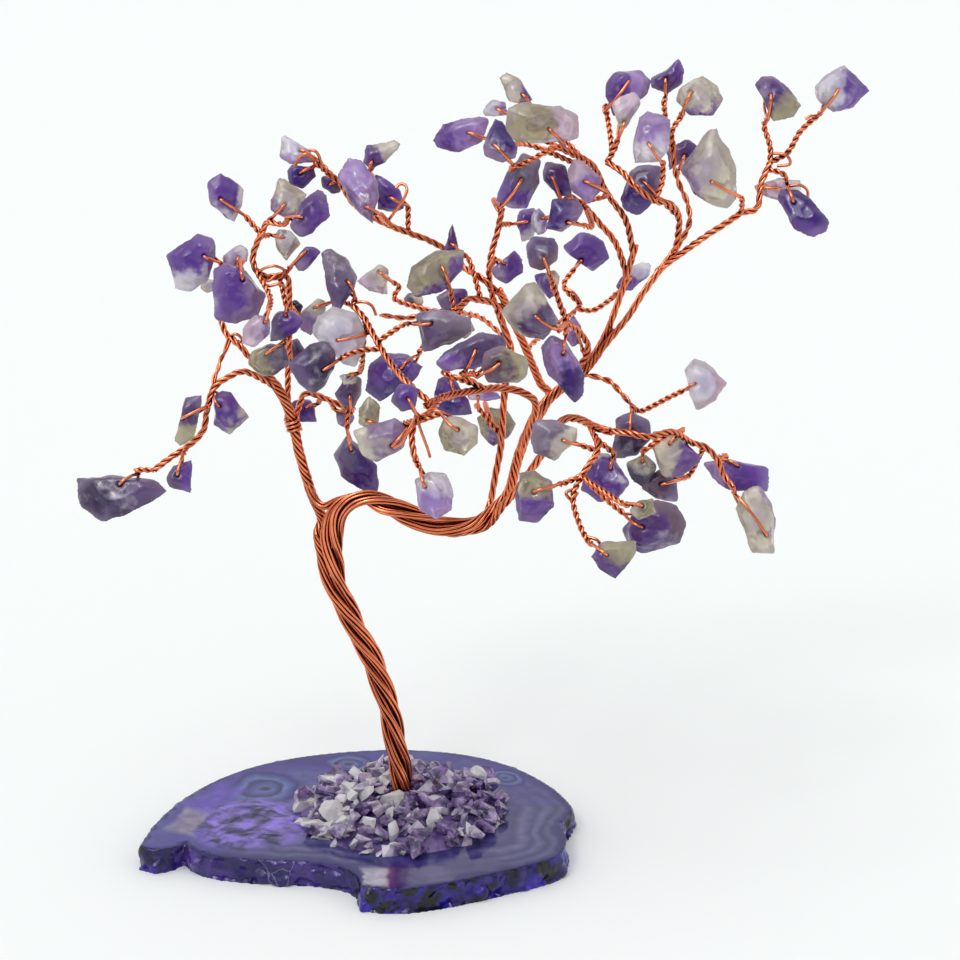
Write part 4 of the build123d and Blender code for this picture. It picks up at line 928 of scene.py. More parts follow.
def span(tree, value, low, high, to_low=0.0, to_high=1.0):
    """Value brought smoothly from one range to another."""
    made = add_node(tree, "ShaderNodeMapRange", {
        "Value": value, "From Min": low, "From Max": high, "To Min": to_low, "To Max": to_high},
        interpolation_type="SMOOTHSTEP")
    return made.outputs["Result"]


def sum_up(tree, first, second, operation="ADD"):
    """Two values put together by one operation."""
    return add_node(tree, "ShaderNodeMath", {0: first, 1: second}, operation=operation).outputs[0]


def join_vectors(tree, first, second, operation="ADD"):
    """Two vectors put together by one operation, or one vector scaled by a number."""
    other = "Scale" if operation == "SCALE" else 1
    return add_node(tree, "ShaderNodeVectorMath", {0: first, other: second}, operation=operation).outputs[0]


def compare_vectors(tree, first, second, operation):
    """Number that two vectors give by one operation."""
    return add_node(tree, "ShaderNodeVectorMath", {0: first, 1: second}, operation=operation).outputs["Value"]


def fresh_material(name):
    """New material, with its node tree and its shader."""
    material = bpy.data.materials.new(name)
    material.use_nodes = True
    tree = material.node_tree
    return material, tree, tree.nodes["Principled BSDF"]


def here(tree):
    """Object coordinates."""
    return tree.nodes.new("ShaderNodeTexCoord").outputs["Object"]


def grain(tree, scale, detail=3.0, vector=None):
    """Noise of a given scale on object coordinates."""
    return add_node(tree, "ShaderNodeTexNoise", {
        "Vector": vector or here(tree), "Scale": scale, "Detail": detail}).outputs["Fac"]


def bump(tree, height, strength, distance):
    """Normal from a height."""
    return add_node(tree, "ShaderNodeBump", {
        "Height": height, "Strength": strength, "Distance": distance}).outputs["Normal"]


def copper_material():
    """Drawn copper wire, a little tarnished, with painted shade in the creases between wires and a painted
    highlight on their ridges.
    """
    material, tree, shader = fresh_material("copper")
    tarnish = span(tree, grain(tree, 150, 4), .4, .66)
    colour = mix(tree, tarnish, COPPER_BRIGHT, COPPER_TARNISHED)
    crease = add_node(tree, "ShaderNodeAmbientOcclusion", {"Distance": PAINTED_SHADE_REACH}, samples=6).outputs["AO"]
    # Painted shade: ambient occlusion darkens the creases between the wires.
    colour = mix(tree, span(tree, crease, .34, .92), COPPER_PAINTED_SHADE, colour)
    # Painted highlight: the open ridges of the wires are lightened.
    colour = mix(tree, span(tree, crease, .84, 1.0, .0, .62), colour, COPPER_PAINTED_HIGHLIGHT)
    tree.links.new(colour, shader.inputs["Base Color"])
    shader.inputs["Metallic"].default_value = 1.0
    tree.links.new(span(tree, tarnish, 0, 1, .13, .25), shader.inputs["Roughness"])
    tree.links.new(bump(tree, grain(tree, 1400, 2), .1, .0001), shader.inputs["Normal"])
    return material


def stone_group():
    """Colour of a chip: two zones with a soft wavy border, clouds and faint veils, with painted shade on the
    thick middle and a painted glow of light through the thin rim.
    """
    group = bpy.data.node_groups.new("stone_zones", "ShaderNodeTree")
    group.interface.new_socket("Colour", in_out="OUTPUT", socket_type="NodeSocketColor")
    group.interface.new_socket("Height", in_out="OUTPUT", socket_type="NodeSocketFloat")
    end = group.nodes.new("NodeGroupOutput")
    first = add_node(group, "ShaderNodeAttribute", attribute_name="tone_a").outputs["Color"]
    second = add_node(group, "ShaderNodeAttribute", attribute_name="tone_b").outputs["Color"]
    zone = add_node(group, "ShaderNodeAttribute", attribute_name="zone").outputs["Fac"]
    heart = add_node(group, "ShaderNodeAttribute", attribute_name="heart").outputs["Fac"]
    wave = span(group, grain(group, 170, 3), .25, .75, -.55, .55)
    border = sum_up(group, sum_up(group, zone, wave), span(group, grain(group, 700, 3), .3, .7, -.1, .1))
    colour = mix(group, span(group, border, -.06, .44), first, second)
    # Painted shade: the thick middle of each chip is darkened, for less light coming through it.
    painted_thick_shade = mix(group, 1.0, colour, (168, 150, 206), "MULTIPLY")
    colour = mix(group, span(group, heart, .15, .85, .0, .5), colour, painted_thick_shade)
    # Painted glow: the thin rim of each chip is lightened, for light shining through it from behind.
    colour = mix(group, span(group, heart, -.05, .35, .2, .0), colour, (214, 196, 230))
    clouds = span(group, grain(group, 420, 4), .34, .7)
    colour = mix(group, span(group, clouds, 0, 1, .15, .0), colour, (58, 40, 86))
    veil = span(group, grain(group, 240, 5), .56, .76, .0, .45)
    colour = mix(group, veil, colour, (226, 220, 232))
    group.links.new(colour, end.inputs["Colour"])
    group.links.new(clouds, end.inputs["Height"])
    return group


def stone_material(name, group, clearness, roughness):
    """Tumbled stone; the clearness is the share of light that goes through it."""
    material, tree, shader = fresh_material(name)
    zones = add_node(tree, "ShaderNodeGroup", node_tree=group)
    tree.links.new(zones.outputs["Colour"], shader.inputs["Base Color"])
    tree.links.new(bump(tree, zones.outputs["Height"], .25, .00015), shader.inputs["Normal"])
    shader.inputs["Transmission Weight"].default_value = clearness
    shader.inputs["IOR"].default_value = 1.5
    haze = span(tree, grain(tree, 600, 3), .35, .7, roughness, roughness + .12)
    tree.links.new(haze, shader.inputs["Roughness"])
    return material


def near_spot(tree, vector, pixel, radius, softness):
    """Mask that falls from one to nothing at a radius round a place on the sawn face, and the distance."""
    place = on_slice(pixel) * MM
    away = compare_vectors(tree, vector, (place.x, place.y, 0), "DISTANCE")
    return span(tree, away, radius * MM * (1 - softness), radius * MM, 1.0, 0.0), away


def near_face_patch(tree, vector, pixel, half, turn):
    """Mask of a four-sided patch on the sawn face, with soft edges, from half sides in millimetres."""
    place = on_slice(pixel) * MM
    away = join_vectors(tree, vector, (place.x, place.y, 0), "SUBTRACT")
    turned = add_node(
        tree, "ShaderNodeVectorRotate", {"Vector": away, "Angle": -turn}, rotation_type="Z_AXIS").outputs[0]
    shares = join_vectors(tree, turned, (half[0] * MM, half[1] * MM, 1), "DIVIDE")
    shares = add_node(tree, "ShaderNodeVectorMath", {0: shares}, operation="ABSOLUTE").outputs[0]
    sides = add_node(tree, "ShaderNodeSeparateXYZ", {0: shares}).outputs
    return span(tree, sum_up(tree, sides["X"], sides["Y"], "MAXIMUM"), *PATCH_EDGES, 1.0, 0.0)


def agate_face_material():
    """Polished dyed agate: bands that follow the rim, eyes, a crystal patch, and pale and dark patches."""
    material, tree, shader = fresh_material("agate_face")
    flat = join_vectors(tree, here(tree), (1, 1, 0), "MULTIPLY")
    clouds = add_node(tree, "ShaderNodeTexNoise", {"Vector": flat, "Scale": 70.0, "Detail": 3.0})
    drift = join_vectors(tree, clouds.outputs["Color"], (.5, .5, .5), "SUBTRACT")
    drift = join_vectors(tree, drift, .009, "SCALE")
    bent = join_vectors(tree, join_vectors(tree, flat, drift), (1, 1, 0), "MULTIPLY")

    rim = add_node(tree, "ShaderNodeAttribute", attribute_name="rim").outputs["Fac"]
    inward = sum_up(tree, rim, span(tree, grain(tree, 60, 2, bent), .3, .7, -.0012, .0012))

    colour = ramp(tree, grain(tree, 50, 4, bent), FACE_TONES)
    bands = ramp(tree, sum_up(tree, inward, 1 / (BAND_REACH * MM), "MULTIPLY"), BAND_TONES)
    for pixel, radius in BANDS_PX:
        front, _ = near_spot(tree, bent, pixel, radius, .7)
        colour = mix(tree, sum_up(tree, front, .9, "MULTIPLY"), colour, bands)
    front, _ = near_spot(tree, bent, DARK_FRONT_PX, DARK_FRONT_RADIUS, .8)
    colour = mix(tree, sum_up(tree, front, .55, "MULTIPLY"), colour, (34, 24, 66))

    for pixel, radius in EYES_PX:
        mask, distance = near_spot(tree, bent, pixel, radius, .2)
        rings = ramp(tree, sum_up(tree, distance, 1 / (radius * MM), "MULTIPLY"), EYE_TONES)
        colour = mix(tree, mask, colour, rings)

    patch, _ = near_spot(tree, bent, CRYSTALS_PX, CRYSTALS_RADIUS, .45)
    cells = add_node(tree, "ShaderNodeTexVoronoi", {"Vector": bent, "Scale": 520.0}).outputs["Distance"]
    blotch = span(tree, grain(tree, 190, 5, bent), .36, .62)
    crystals = mix(tree, blotch, (16, 6, 64), (134, 110, 214))
    crystals = mix(tree, span(tree, cells, .1, .5, .5, .0), crystals, (140, 116, 214))
    colour = mix(tree, patch, colour, crystals)
    for pixel, half, turn, tone in FACE_PATCHES_PX:
        mask = near_face_patch(tree, bent, pixel, half, radians(turn))
        broken = span(tree, grain(tree, 170, 4, bent), .3, .62, .5, .85)
        colour = mix(tree, sum_up(tree, mask, broken, "MULTIPLY"), colour, tone)
    fine = span(tree, grain(tree, 380, 5, bent), .3, .75)
    colour = mix(tree, fine, mix(tree, .35, colour, (20, 12, 66)), colour)
    ragged = sum_up(tree, rim, span(tree, grain(tree, 420, 4, bent), .3, .7, -.0007, .0007))
    colour = mix(tree, span(tree, ragged, .0003, .0013, .9, .0), colour, (24, 12, 88))
    tree.links.new(colour, shader.inputs["Base Color"])
    shader.inputs["Roughness"].default_value = .14
    shader.inputs["Specular IOR Level"].default_value = .26
    tree.links.new(bump(tree, sum_up(tree, cells, patch, "MULTIPLY"), .5, .0004), shader.inputs["Normal"])
    return material


def agate_rind_material():
    """Dyed rind: deep blue-violet crystal skin with painted highlights on its crystals and painted near-black
    shade in its hollows, smoother and cracked to the left.
    """
    material, tree, shader = fresh_material("agate_rind")
    blotch = span(tree, grain(tree, 150, 5), .38, .62)
    colour = mix(tree, blotch, (12, 6, 56), (44, 24, 146))
    skin = add_node(tree, "ShaderNodeTexVoronoi", {"Vector": here(tree), "Scale": 420.0})
    # Painted highlights: a light blue-violet at the middles of the skin's cells, where the crystals catch the
    # light.
    colour = mix(tree, span(tree, skin.outputs["Distance"], .1, .5, .3, .0), colour, (86, 66, 190))
    loose = add_node(tree, "ShaderNodeTexNoise", {"Vector": here(tree), "Scale": 300.0}).outputs["Color"]
    loose = join_vectors(tree, here(tree), join_vectors(tree, loose, .004, "SCALE"))
    holes = add_node(tree, "ShaderNodeTexVoronoi", {"Vector": loose, "Scale": 260.0}).outputs["Distance"]
    pitted = span(tree, grain(tree, 120, 2), .36, .5)
    # Painted shade: near-black spots for the shade in the rind's hollows.
    painted_pit_shade = sum_up(tree, span(tree, holes, .34, .5, 1.0, .0), pitted, "MULTIPLY")
    colour = mix(tree, painted_pit_shade, colour, (5, 3, 16))
    cells = add_node(
        tree, "ShaderNodeTexVoronoi", {"Vector": loose, "Scale": 62.0}, feature="DISTANCE_TO_EDGE")
    cracks = span(tree, cells.outputs["Distance"], .0, .01, .42, .0)
    across = add_node(tree, "ShaderNodeSeparateXYZ", {0: here(tree)}).outputs["X"]
    left = span(tree, across, *SMOOTH_SKIN_FROM, 1.0, 0.0)
    end = span(tree, across, *SMOOTH_SKIN_TO, 0.0, 1.0)
    smooth_skin = mix(tree, blotch, (30, 18, 88), (68, 48, 116))
    smooth_skin = mix(tree, cracks, smooth_skin, (176, 164, 206))
    colour = mix(tree, sum_up(tree, sum_up(tree, left, end, "MULTIPLY"), .8, "MULTIPLY"), colour, smooth_skin)
    tree.links.new(colour, shader.inputs["Base Color"])
    tree.links.new(span(tree, blotch, 0, 1, .32, .16), shader.inputs["Roughness"])
    tree.links.new(bump(tree, skin.outputs["Distance"], .6, .0006), shader.inputs["Normal"])
    return material


def shard_material(name, dark, light, clearness):
    """Broken crystal: glassy, with cloudy streaks."""
    material, tree, shader = fresh_material(name)
    colour = mix(tree, span(tree, grain(tree, 420, 4), .34, .66), dark, light)
    veil = span(tree, grain(tree, 900, 3), .58, .7, .0, .5)
    tree.links.new(mix(tree, veil, colour, (238, 234, 240)), shader.inputs["Base Color"])
    tree.links.new(span(tree, grain(tree, 800, 2), .3, .7, .03, .13), shader.inputs["Roughness"])
    shader.inputs["Transmission Weight"].default_value = clearness
    shader.inputs["IOR"].default_value = 1.54
    return material


def glue_and_shade_material():
    """Set adhesive between the shards, cloudy, its dark violet also a painted shade for the gravel layers
    lower down.
    """
    material, tree, shader = fresh_material("glue")
    cloudy = span(tree, grain(tree, 300, 4), .35, .65)
    # Painted shade: the dark violet stands in for the lower gravel in shadow between the shards.
    colour = mix(tree, cloudy, (62, 46, 104), (112, 92, 146))
    tree.links.new(colour, shader.inputs["Base Color"])
    shader.inputs["Roughness"].default_value = .25
    tree.links.new(bump(tree, grain(tree, 500, 3), .5, .0006), shader.inputs["Normal"])
    return material


def floor_material(brightness):
    """White paper."""
    material, tree, shader = fresh_material("paper")
    colour = mix(tree, grain(tree, 3, 2), (brightness * .96, brightness, brightness * .99, 1),
                 (brightness * .97, brightness, brightness, 1))
    tree.links.new(colour, shader.inputs["Base Color"])
    shader.inputs["Roughness"].default_value = .8
    shader.inputs["Specular IOR Level"].default_value = .1
    return material


def activate(piece):
    """Select one object alone and make it active."""
    bpy.ops.object.select_all(action="DESELECT")
    piece.select_set(True)
    bpy.context.view_layer.objects.active = piece


def add_wires(name, lines, roundness, material):
    """Mesh of round copper wires along lines of points in millimetres."""
    curve = bpy.data.curves.new(name, "CURVE")
    curve.dimensions = "3D"
    curve.bevel_depth = WIRE_DIAMETER / 2 * MM
    curve.bevel_resolution = roundness
    curve.use_fill_caps = True
    for line in lines:
        spline = curve.splines.new("POLY")
        spline.points.add(len(line) - 1)
        for point, target in zip(line, spline.points):
            target.co = (*(point * MM), 1.0)
    piece = bpy.data.objects.new(name, curve)
    bpy.context.scene.collection.objects.link(piece)
    activate(piece)
    bpy.ops.object.convert(target="MESH")
    bpy.ops.object.shade_smooth()
    piece = bpy.context.object
    piece.data.materials.append(material)
    return piece


def copy_node(node, name):
    """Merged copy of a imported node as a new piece."""
    piece = bpy.data.objects.new(name, frame["nodes"][node].data.copy())
    bpy.context.scene.collection.objects.link(piece)
    piece.data.materials.clear()
    activate(piece)
    bpy.ops.object.mode_set(mode="EDIT")
    bpy.ops.mesh.select_all(action="SELECT")
    bpy.ops.mesh.remove_doubles(threshold=MERGE_DISTANCE)
    bpy.ops.mesh.normals_make_consistent(inside=False)
    bpy.ops.object.mode_set(mode="OBJECT")
    return piece


def add_modifier(piece, kind, **settings):
    """Modifier added, set and applied."""
    activate(piece)
    modifier = piece.modifiers.new(kind.title(), kind)
    for name, value in settings.items():
        setattr(modifier, name, value)
    bpy.ops.object.modifier_apply(modifier=modifier.name)


def relief(name, kind, scale):
    """Procedural texture for a displacement."""
    texture = bpy.data.textures.new(name, kind)
    texture.noise_scale = scale
    return texture


def hand_over(piece, slot, *nodes):
    """Tie a finished piece to the part."""
    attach(piece, "root")
    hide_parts(*nodes)


class GemTreeSettings(bpy.types.PropertyGroup):
    """Lays, reliefs, counts of shards and lights that a user would change."""

    trunk_lay: bpy.props.FloatProperty(
        name="Trunk lay", description="Length in which a bundle goes once round the trunk, mm", default=34.0)
    trunk_turn: bpy.props.FloatProperty(
        name="Trunk turn", description="Where the first bundle starts", default=0.0, subtype="ANGLE")
    bundle_lay: bpy.props.FloatProperty(
        name="Bundle lay", description="Length in which a wire goes once round its bundle, mm", default=60.0)
    limb_lay: bpy.props.FloatProperty(
        name="Limb lay", description="Length in which a limb's wire goes once round, mm", default=10.0)
    branch_lay: bpy.props.FloatProperty(
        name="Branch lay", description="Length in which a branch's wire goes once round, mm", default=5.2)
    pair_lay: bpy.props.FloatProperty(
        name="Pair lay", description="Length in which a twisted pair goes once round, mm", default=2.7)
    chip_voxel: bpy.props.FloatProperty(
        name="Chip voxel", description="Fineness of the chips", default=.00026, unit="LENGTH", precision=5)
    chip_rounding: bpy.props.IntProperty(
        name="Chip rounding", description="Passes that round the chips", default=10)
    chip_relief: bpy.props.FloatProperty(
        name="Chip relief", description="Unevenness of the chips", default=.0011, unit="LENGTH", precision=5)
    rind_voxel: bpy.props.FloatProperty(
        name="Rind voxel", description="Fineness of the slice", default=.00045, unit="LENGTH", precision=5)
    rind_relief: bpy.props.FloatProperty(
        name="Rind relief", description="Unevenness of the slice's rind", default=.0017, unit="LENGTH",
        precision=5)
    large_shards: bpy.props.IntProperty(
        name="Large shards", description="Large pieces of gravel", default=130)
    small_shards: bpy.props.IntProperty(
        name="Small shards", description="Shards between the large ones", default=230)
    sun: bpy.props.FloatProperty(name="Sun", description="Strength of the soft light from above", default=.66)
    sparkle: bpy.props.FloatProperty(
        name="Sparkle", description="Strength of the small light that gives the highlights", default=.4)
    sun_spread: bpy.props.FloatProperty(
        name="Sun spread", description="Width of the soft light", default=radians(50), subtype="ANGLE")
    sky: bpy.props.FloatProperty(name="Sky", description="Strength of the even light", default=.8)
    room: bpy.props.FloatProperty(
        name="Room", description="Brightness of the room behind the camera, in reflections", default=.35)
    glint: bpy.props.FloatProperty(
        name="Glint", description="Brightness that the lamp adds in reflections", default=2.2)
    paper: bpy.props.FloatProperty(
        name="Paper", description="Lightness of the floor", default=.91, subtype="FACTOR")


class GEMTREE_OT_slice(bpy.types.Operator):
    """Agate slice with a polished face and a rough rind"""

    bl_idname = "gemtree.slice"
    bl_label = "Agate Slice"

    def execute(self, context):
        settings = context.scene.gem_tree
        piece = copy_node("agate_slice", "slice_polished")
        add_modifier(piece, "REMESH", mode="VOXEL", voxel_size=settings.rind_voxel)
        rind = piece.vertex_groups.new(name="rind")
        for vertex in piece.data.vertices:
            height = vertex.co.z / (SLICE_THICKNESS * MM)
            if abs(vertex.normal.z) < STEEP and RIND_HEIGHTS[0] < height < RIND_HEIGHTS[1]:
                rind.add([vertex.index], min(1.0, (1 - height) * RIND_FADE), "REPLACE")
        add_modifier(piece, "SMOOTH", factor=SMOOTHING, iterations=RIND_PASSES, vertex_group="rind")
        for texture, strength, level in (
                (relief("lumps", "CLOUDS", LUMP_GRAIN), settings.rind_relief * LUMP_SHARE, LUMP_LEVEL),
                (relief("knobs", "VORONOI", KNOB_GRAIN), -settings.rind_relief, KNOB_LEVEL)):
            add_modifier(
                piece, "DISPLACE", texture=texture, strength=strength, mid_level=level, vertex_group="rind")
        for vertex in piece.data.vertices:
            vertex.co.z = max(vertex.co.z, 0.0)
        self.measure_rim(piece.data)
        piece.data.materials.append(agate_face_material())
        piece.data.materials.append(agate_rind_material())
        for face in piece.data.polygons:
            top = face.normal.z > STEEP and face.center.z > (SLICE_THICKNESS - FACE_MARGIN) * MM
            face.material_index = 0 if top else 1
        bpy.ops.object.shade_smooth_by_angle(angle=radians(FACE_ANGLE))
        piece.vertex_groups.clear()
        hand_over(piece, "agate", "agate_slice")
        return {"FINISHED"}

    def measure_rim(self, mesh):
        """Give each vertex its distance from the rim of the sawn face."""
        edge = [
            vertex.co.copy() for vertex in mesh.vertices
            if abs(vertex.normal.z) < STEEP and vertex.co.z > SLICE_THICKNESS * RIM_HEIGHT * MM]
        finder = kdtree.KDTree(len(edge))
        for index, place in enumerate(edge):
            finder.insert(place, index)
        finder.balance()
        away = [finder.find(vertex.co)[2] for vertex in mesh.vertices]
        mesh.attributes.new("rim", "FLOAT", "POINT").data.foreach_set("value", away)


class GEMTREE_OT_gravel(bpy.types.Operator):
    """Shards of crystal round the trunk's foot, in three tones, and the glue under them"""

    bl_idname = "gemtree.gravel"
    bl_label = "Gravel"

    def execute(self, context):
        glue = frame["nodes"]["glue_bed"]
        glue.data.materials.clear()
        glue.data.materials.append(glue_and_shade_material())
        for tone, shards in self.strew(context.scene.gem_tree).items():
            heap = bmesh.new()
            for points in shards:
                corners = [heap.verts.new(point * MM) for point in points]
                hull = bmesh.ops.convex_hull(heap, input=corners)
                loose = [item for item in hull["geom_interior"] if isinstance(item, bmesh.types.BMVert)]
                bmesh.ops.delete(heap, geom=loose, context="VERTS")
            bmesh.ops.recalc_face_normals(heap, faces=heap.faces)
            mesh = bpy.data.meshes.new(f"shards_{tone}")
            heap.to_mesh(mesh)
            heap.free()
            piece = bpy.data.objects.new(f"shards_{tone}", mesh)
            context.scene.collection.objects.link(piece)
            slot, name, dark, light = SHARD_LOOKS[tone]
            mesh.materials.append(shard_material(name, dark, light, SHARD_CLEARNESS))
            hand_over(piece, slot, f"gravel_{tone}")
        return {"FINISHED"}

    def strew(self, settings):
        """Corners of every shard in millimetres, by tone."""
        random = Random(GRAVEL_SEED)
        heaps = {tone: [] for tone in SHARD_LOOKS}
        for index in range(settings.large_shards + settings.small_shards):
            large = index < settings.large_shards
            share = (index + .5) / settings.large_shards if large else random.random()
            distance = sqrt(GRAVEL_INSIDE**2 + (GRAVEL_OUTSIDE**2 - GRAVEL_INSIDE**2) * share)
            angle = index * GOLDEN_TURN + random.uniform(-SHARD_STRAY, SHARD_STRAY)
            outer = not large and share > FLAKE_FROM and sin(angle - FLAKE_TURN) < FLAKE_SIDE
            flake = outer and random.random() < FLAKE_CHANCE
            size = random.uniform(*(LARGE_LENGTHS if large else FLAKE_LENGTHS if flake else SMALL_LENGTHS))
            lean = distance / DOME_RADIUS
            normal = Vector((cos(angle) * lean, sin(angle) * lean, sqrt(1 - lean**2)))
            if large:
                lift = random.uniform(*LARGE_LIFTS)
            else:
                lift = random.uniform(*SMALL_LIFTS) * (SMALL_SINKING - share)
            place = Vector((0, 0, DOME_CENTRE)) + normal * (DOME_RADIUS + lift)
            turn = Matrix.Rotation(random.uniform(0, 2 * pi), 3, "Z")
            tips = [Matrix.Rotation(random.uniform(-SHARD_TIP, SHARD_TIP), 3, axis) for axis in "XY"]
            tip = tips[0] @ tips[1]
            width, height = FLAKE_SHARES if flake else [random.uniform(*ends) for ends in SHARD_SHARES]
            sizes = Vector((1, width, height)) * size / 2
            points = []
            for _ in range(SHARD_CORNERS):
                way = Vector([random.gauss(0, 1) for _ in range(3)]).normalized()
                points.append(place + turn @ tip @ (way * sizes))
            weights = RIGHT_WEIGHTS if cos(angle) > RIGHT_FROM else LEFT_WEIGHTS
            tone = "clear" if flake else random.choices(list(SHARD_LOOKS), weights)[0]
            heaps[tone].append(points)
        pebble = on_slice(PEBBLE_PX)
        lean = pebble.xy.length / DOME_RADIUS
        middle = Vector((pebble.x, pebble.y, DOME_CENTRE + (DOME_RADIUS + PEBBLE_LIFT) * sqrt(1 - lean**2)))
        corners = []
        for _ in range(PEBBLE_CORNERS):
            way = Vector([random.gauss(0, spread) for spread in (1, 1, PEBBLE_FLATNESS)]).normalized()
            corners.append(middle + way * PEBBLE_RADIUS)
        heaps["clear"].append(corners)
        return heaps


class GEMTREE_OT_frame(bpy.types.Operator):
    """Trunk and limbs: wound copper wires"""

    bl_idname = "gemtree.frame"
    bl_label = "Trunk and Limbs"

    def execute(self, context):
        settings = context.scene.gem_tree
        copper = bpy.data.materials.get("copper") or copper_material()
        ropes, _ = lay_out_tree()
        roots = frame["nodes"]["root_wires"]
        roots.data.materials.clear()
        roots.data.materials.append(copper)
        trunk = []
        limbs = {}
        trunk_lays = (-settings.trunk_lay, -settings.trunk_lay)
        for bundle in TRUNK_BUNDLES:
            line, cut, leave = bundle_line(bundle)
            change = (leave - FAN_BEFORE, leave + FAN_AFTER)
            turn = radians(bundle.turn) + settings.trunk_turn
            if bundle.limb == "right_limb":
                trunk += wind(line[:cut + 1], CORE_WIRES, CORE_CIRCLES, trunk_lays, None, CORE_PHASE)
                room = wind(line, 1, ARCH_ROOM, trunk_lays, None, settings.trunk_turn)[0]
            middle = wind(line, 1, (bundle.offset, 0.0), trunk_lays, change, turn)[0]
            lays = (-settings.bundle_lay, -settings.limb_lay)
            circles = (bundle.circle, bundle.circle)
            wires = wind(middle, bundle.wires, circles, lays, change, turn, ROPE_WANDER) + [middle]
            trunk += [wire[:cut + 1] for wire in wires]
            limbs[bundle.limb] = [wire[cut:] for wire in wires]
        start, end = (closest(room, route([row])[0]) for row in (ARCH_FROM_PX, ARCH_TO_PX))
        arch = smooth_line(route(TRUNK_RUNS["arch"]) + room[start:end:ARCH_SKIP], ROUTE_STEP)
        lays = (-settings.bundle_lay, -settings.bundle_lay)
        trunk += wind(arch, ARCH_WIRES, ARCH_CIRCLES, lays, None, 0.0, ROPE_WANDER) + [arch]
        piece = add_wires("trunk_wound", trunk, TRUNK_ROUNDNESS, copper)
        hand_over(piece, "copper_wire", "trunk_core", "trunk_strands")
        for limb in LIMB_PX_SHARES:
            line, radius = ropes[limb.name]
            circle = radius - WIRE_DIAMETER / 2
            lays = (-settings.limb_lay, -settings.limb_lay * LIMB_TIGHTENING)
            wires = limbs.get(limb.name) or wind(
                line, limb.wires, (circle, circle), lays, None, 0.0, ROPE_WANDER)
            if limb.name == "left_limb":
                wires = wires + self.wind_collar(line, radius + WIRE_DIAMETER / 2)
            piece = add_wires(f"{limb.name}_wound", wires, WIRE_ROUNDNESS, copper)
            hand_over(piece, "copper_wire", limb.name)
        return {"FINISHED"}

    def wind_collar(self, line, radius):
        """Short close winding of one wire round a limb."""
        gaps = [(spot(COLLAR_PX, point.y) - point).length for point in line]
        middle = gaps.index(min(gaps))
        short = line[middle - COLLAR_STEPS:middle + COLLAR_STEPS + 1]
        collar = smooth_line(short, ROUTE_STEP / COLLAR_FINENESS)
        return wind(collar, 1, (radius, radius), (COLLAR_LAY, COLLAR_LAY))


class GEMTREE_OT_twigs(bpy.types.Operator):
    """Branches and stems of twisted wire, each stem with the eye that holds its chip"""

    bl_idname = "gemtree.twigs"
    bl_label = "Twigs"

    def execute(self, context):
        settings = context.scene.gem_tree
        copper = bpy.data.materials.get("copper") or copper_material()
        _, twigs = lay_out_tree()
        for sprig, branches, chips in twigs:
            lines = []
            for index, branch in enumerate(branches):
                stout = len(sprig.stones) >= STOUT_FROM_STONES and index == 0
                count, circles = (STOUT_WIRES, STOUT_CIRCLES) if stout else (2, PAIR_CIRCLES)
                fine = smooth_line(branch[::2] + ([] if len(branch) % 2 else [branch[-1]]), TWIST_STEP)
                lays = (settings.branch_lay, settings.branch_lay)
                lines += wind(fine, count, circles, lays, None, index, TWIG_WANDER)
            for chip in chips:
                stem = smooth_line(chip.stem, TWIST_STEP)
                _, side, up, whole = carried(stem)[-1]
                spread = chip.axes.col[2]
                phase = np.arctan2(spread.dot(up), spread.dot(side)) - 2 * pi * whole / settings.pair_lay
                lays = (settings.pair_lay, settings.pair_lay)
                first, second = wind(stem, 2, PAIR_CIRCLES, lays, None, phase)
                eye = smooth_line([first[-1], *chip.eye[1:-1], second[-1]], TWIST_STEP)
                lines.append(first[:-1] + eye + second[-2::-1])
            knots = [point for branch in branches for point in branch]
            knots += [point for chip in chips for point in smooth_line(chip.stem, ROUTE_STEP)]
            for rows in LOOSE_PX.get(sprig.name, []):
                knot = min(knots, key=lambda point: (spot(rows[0], point.y) - point).length)
                loose = [knot]
                for index, row in enumerate(rows[1:], start=1):
                    sway = knot.y - LOOSE_SWAY * sin(index * LOOSE_WAVE)
                    loose.append(spot(row[:2], row[2] * CROWN_DEPTH if len(row) > 2 else sway))
                lines.append(smooth_line(loose, TWIST_STEP))
            piece = add_wires(f"{sprig.name}_twist", lines, WIRE_ROUNDNESS, copper)
            hand_over(piece, "copper_wire", f"{sprig.name}_wires")
        return {"FINISHED"}


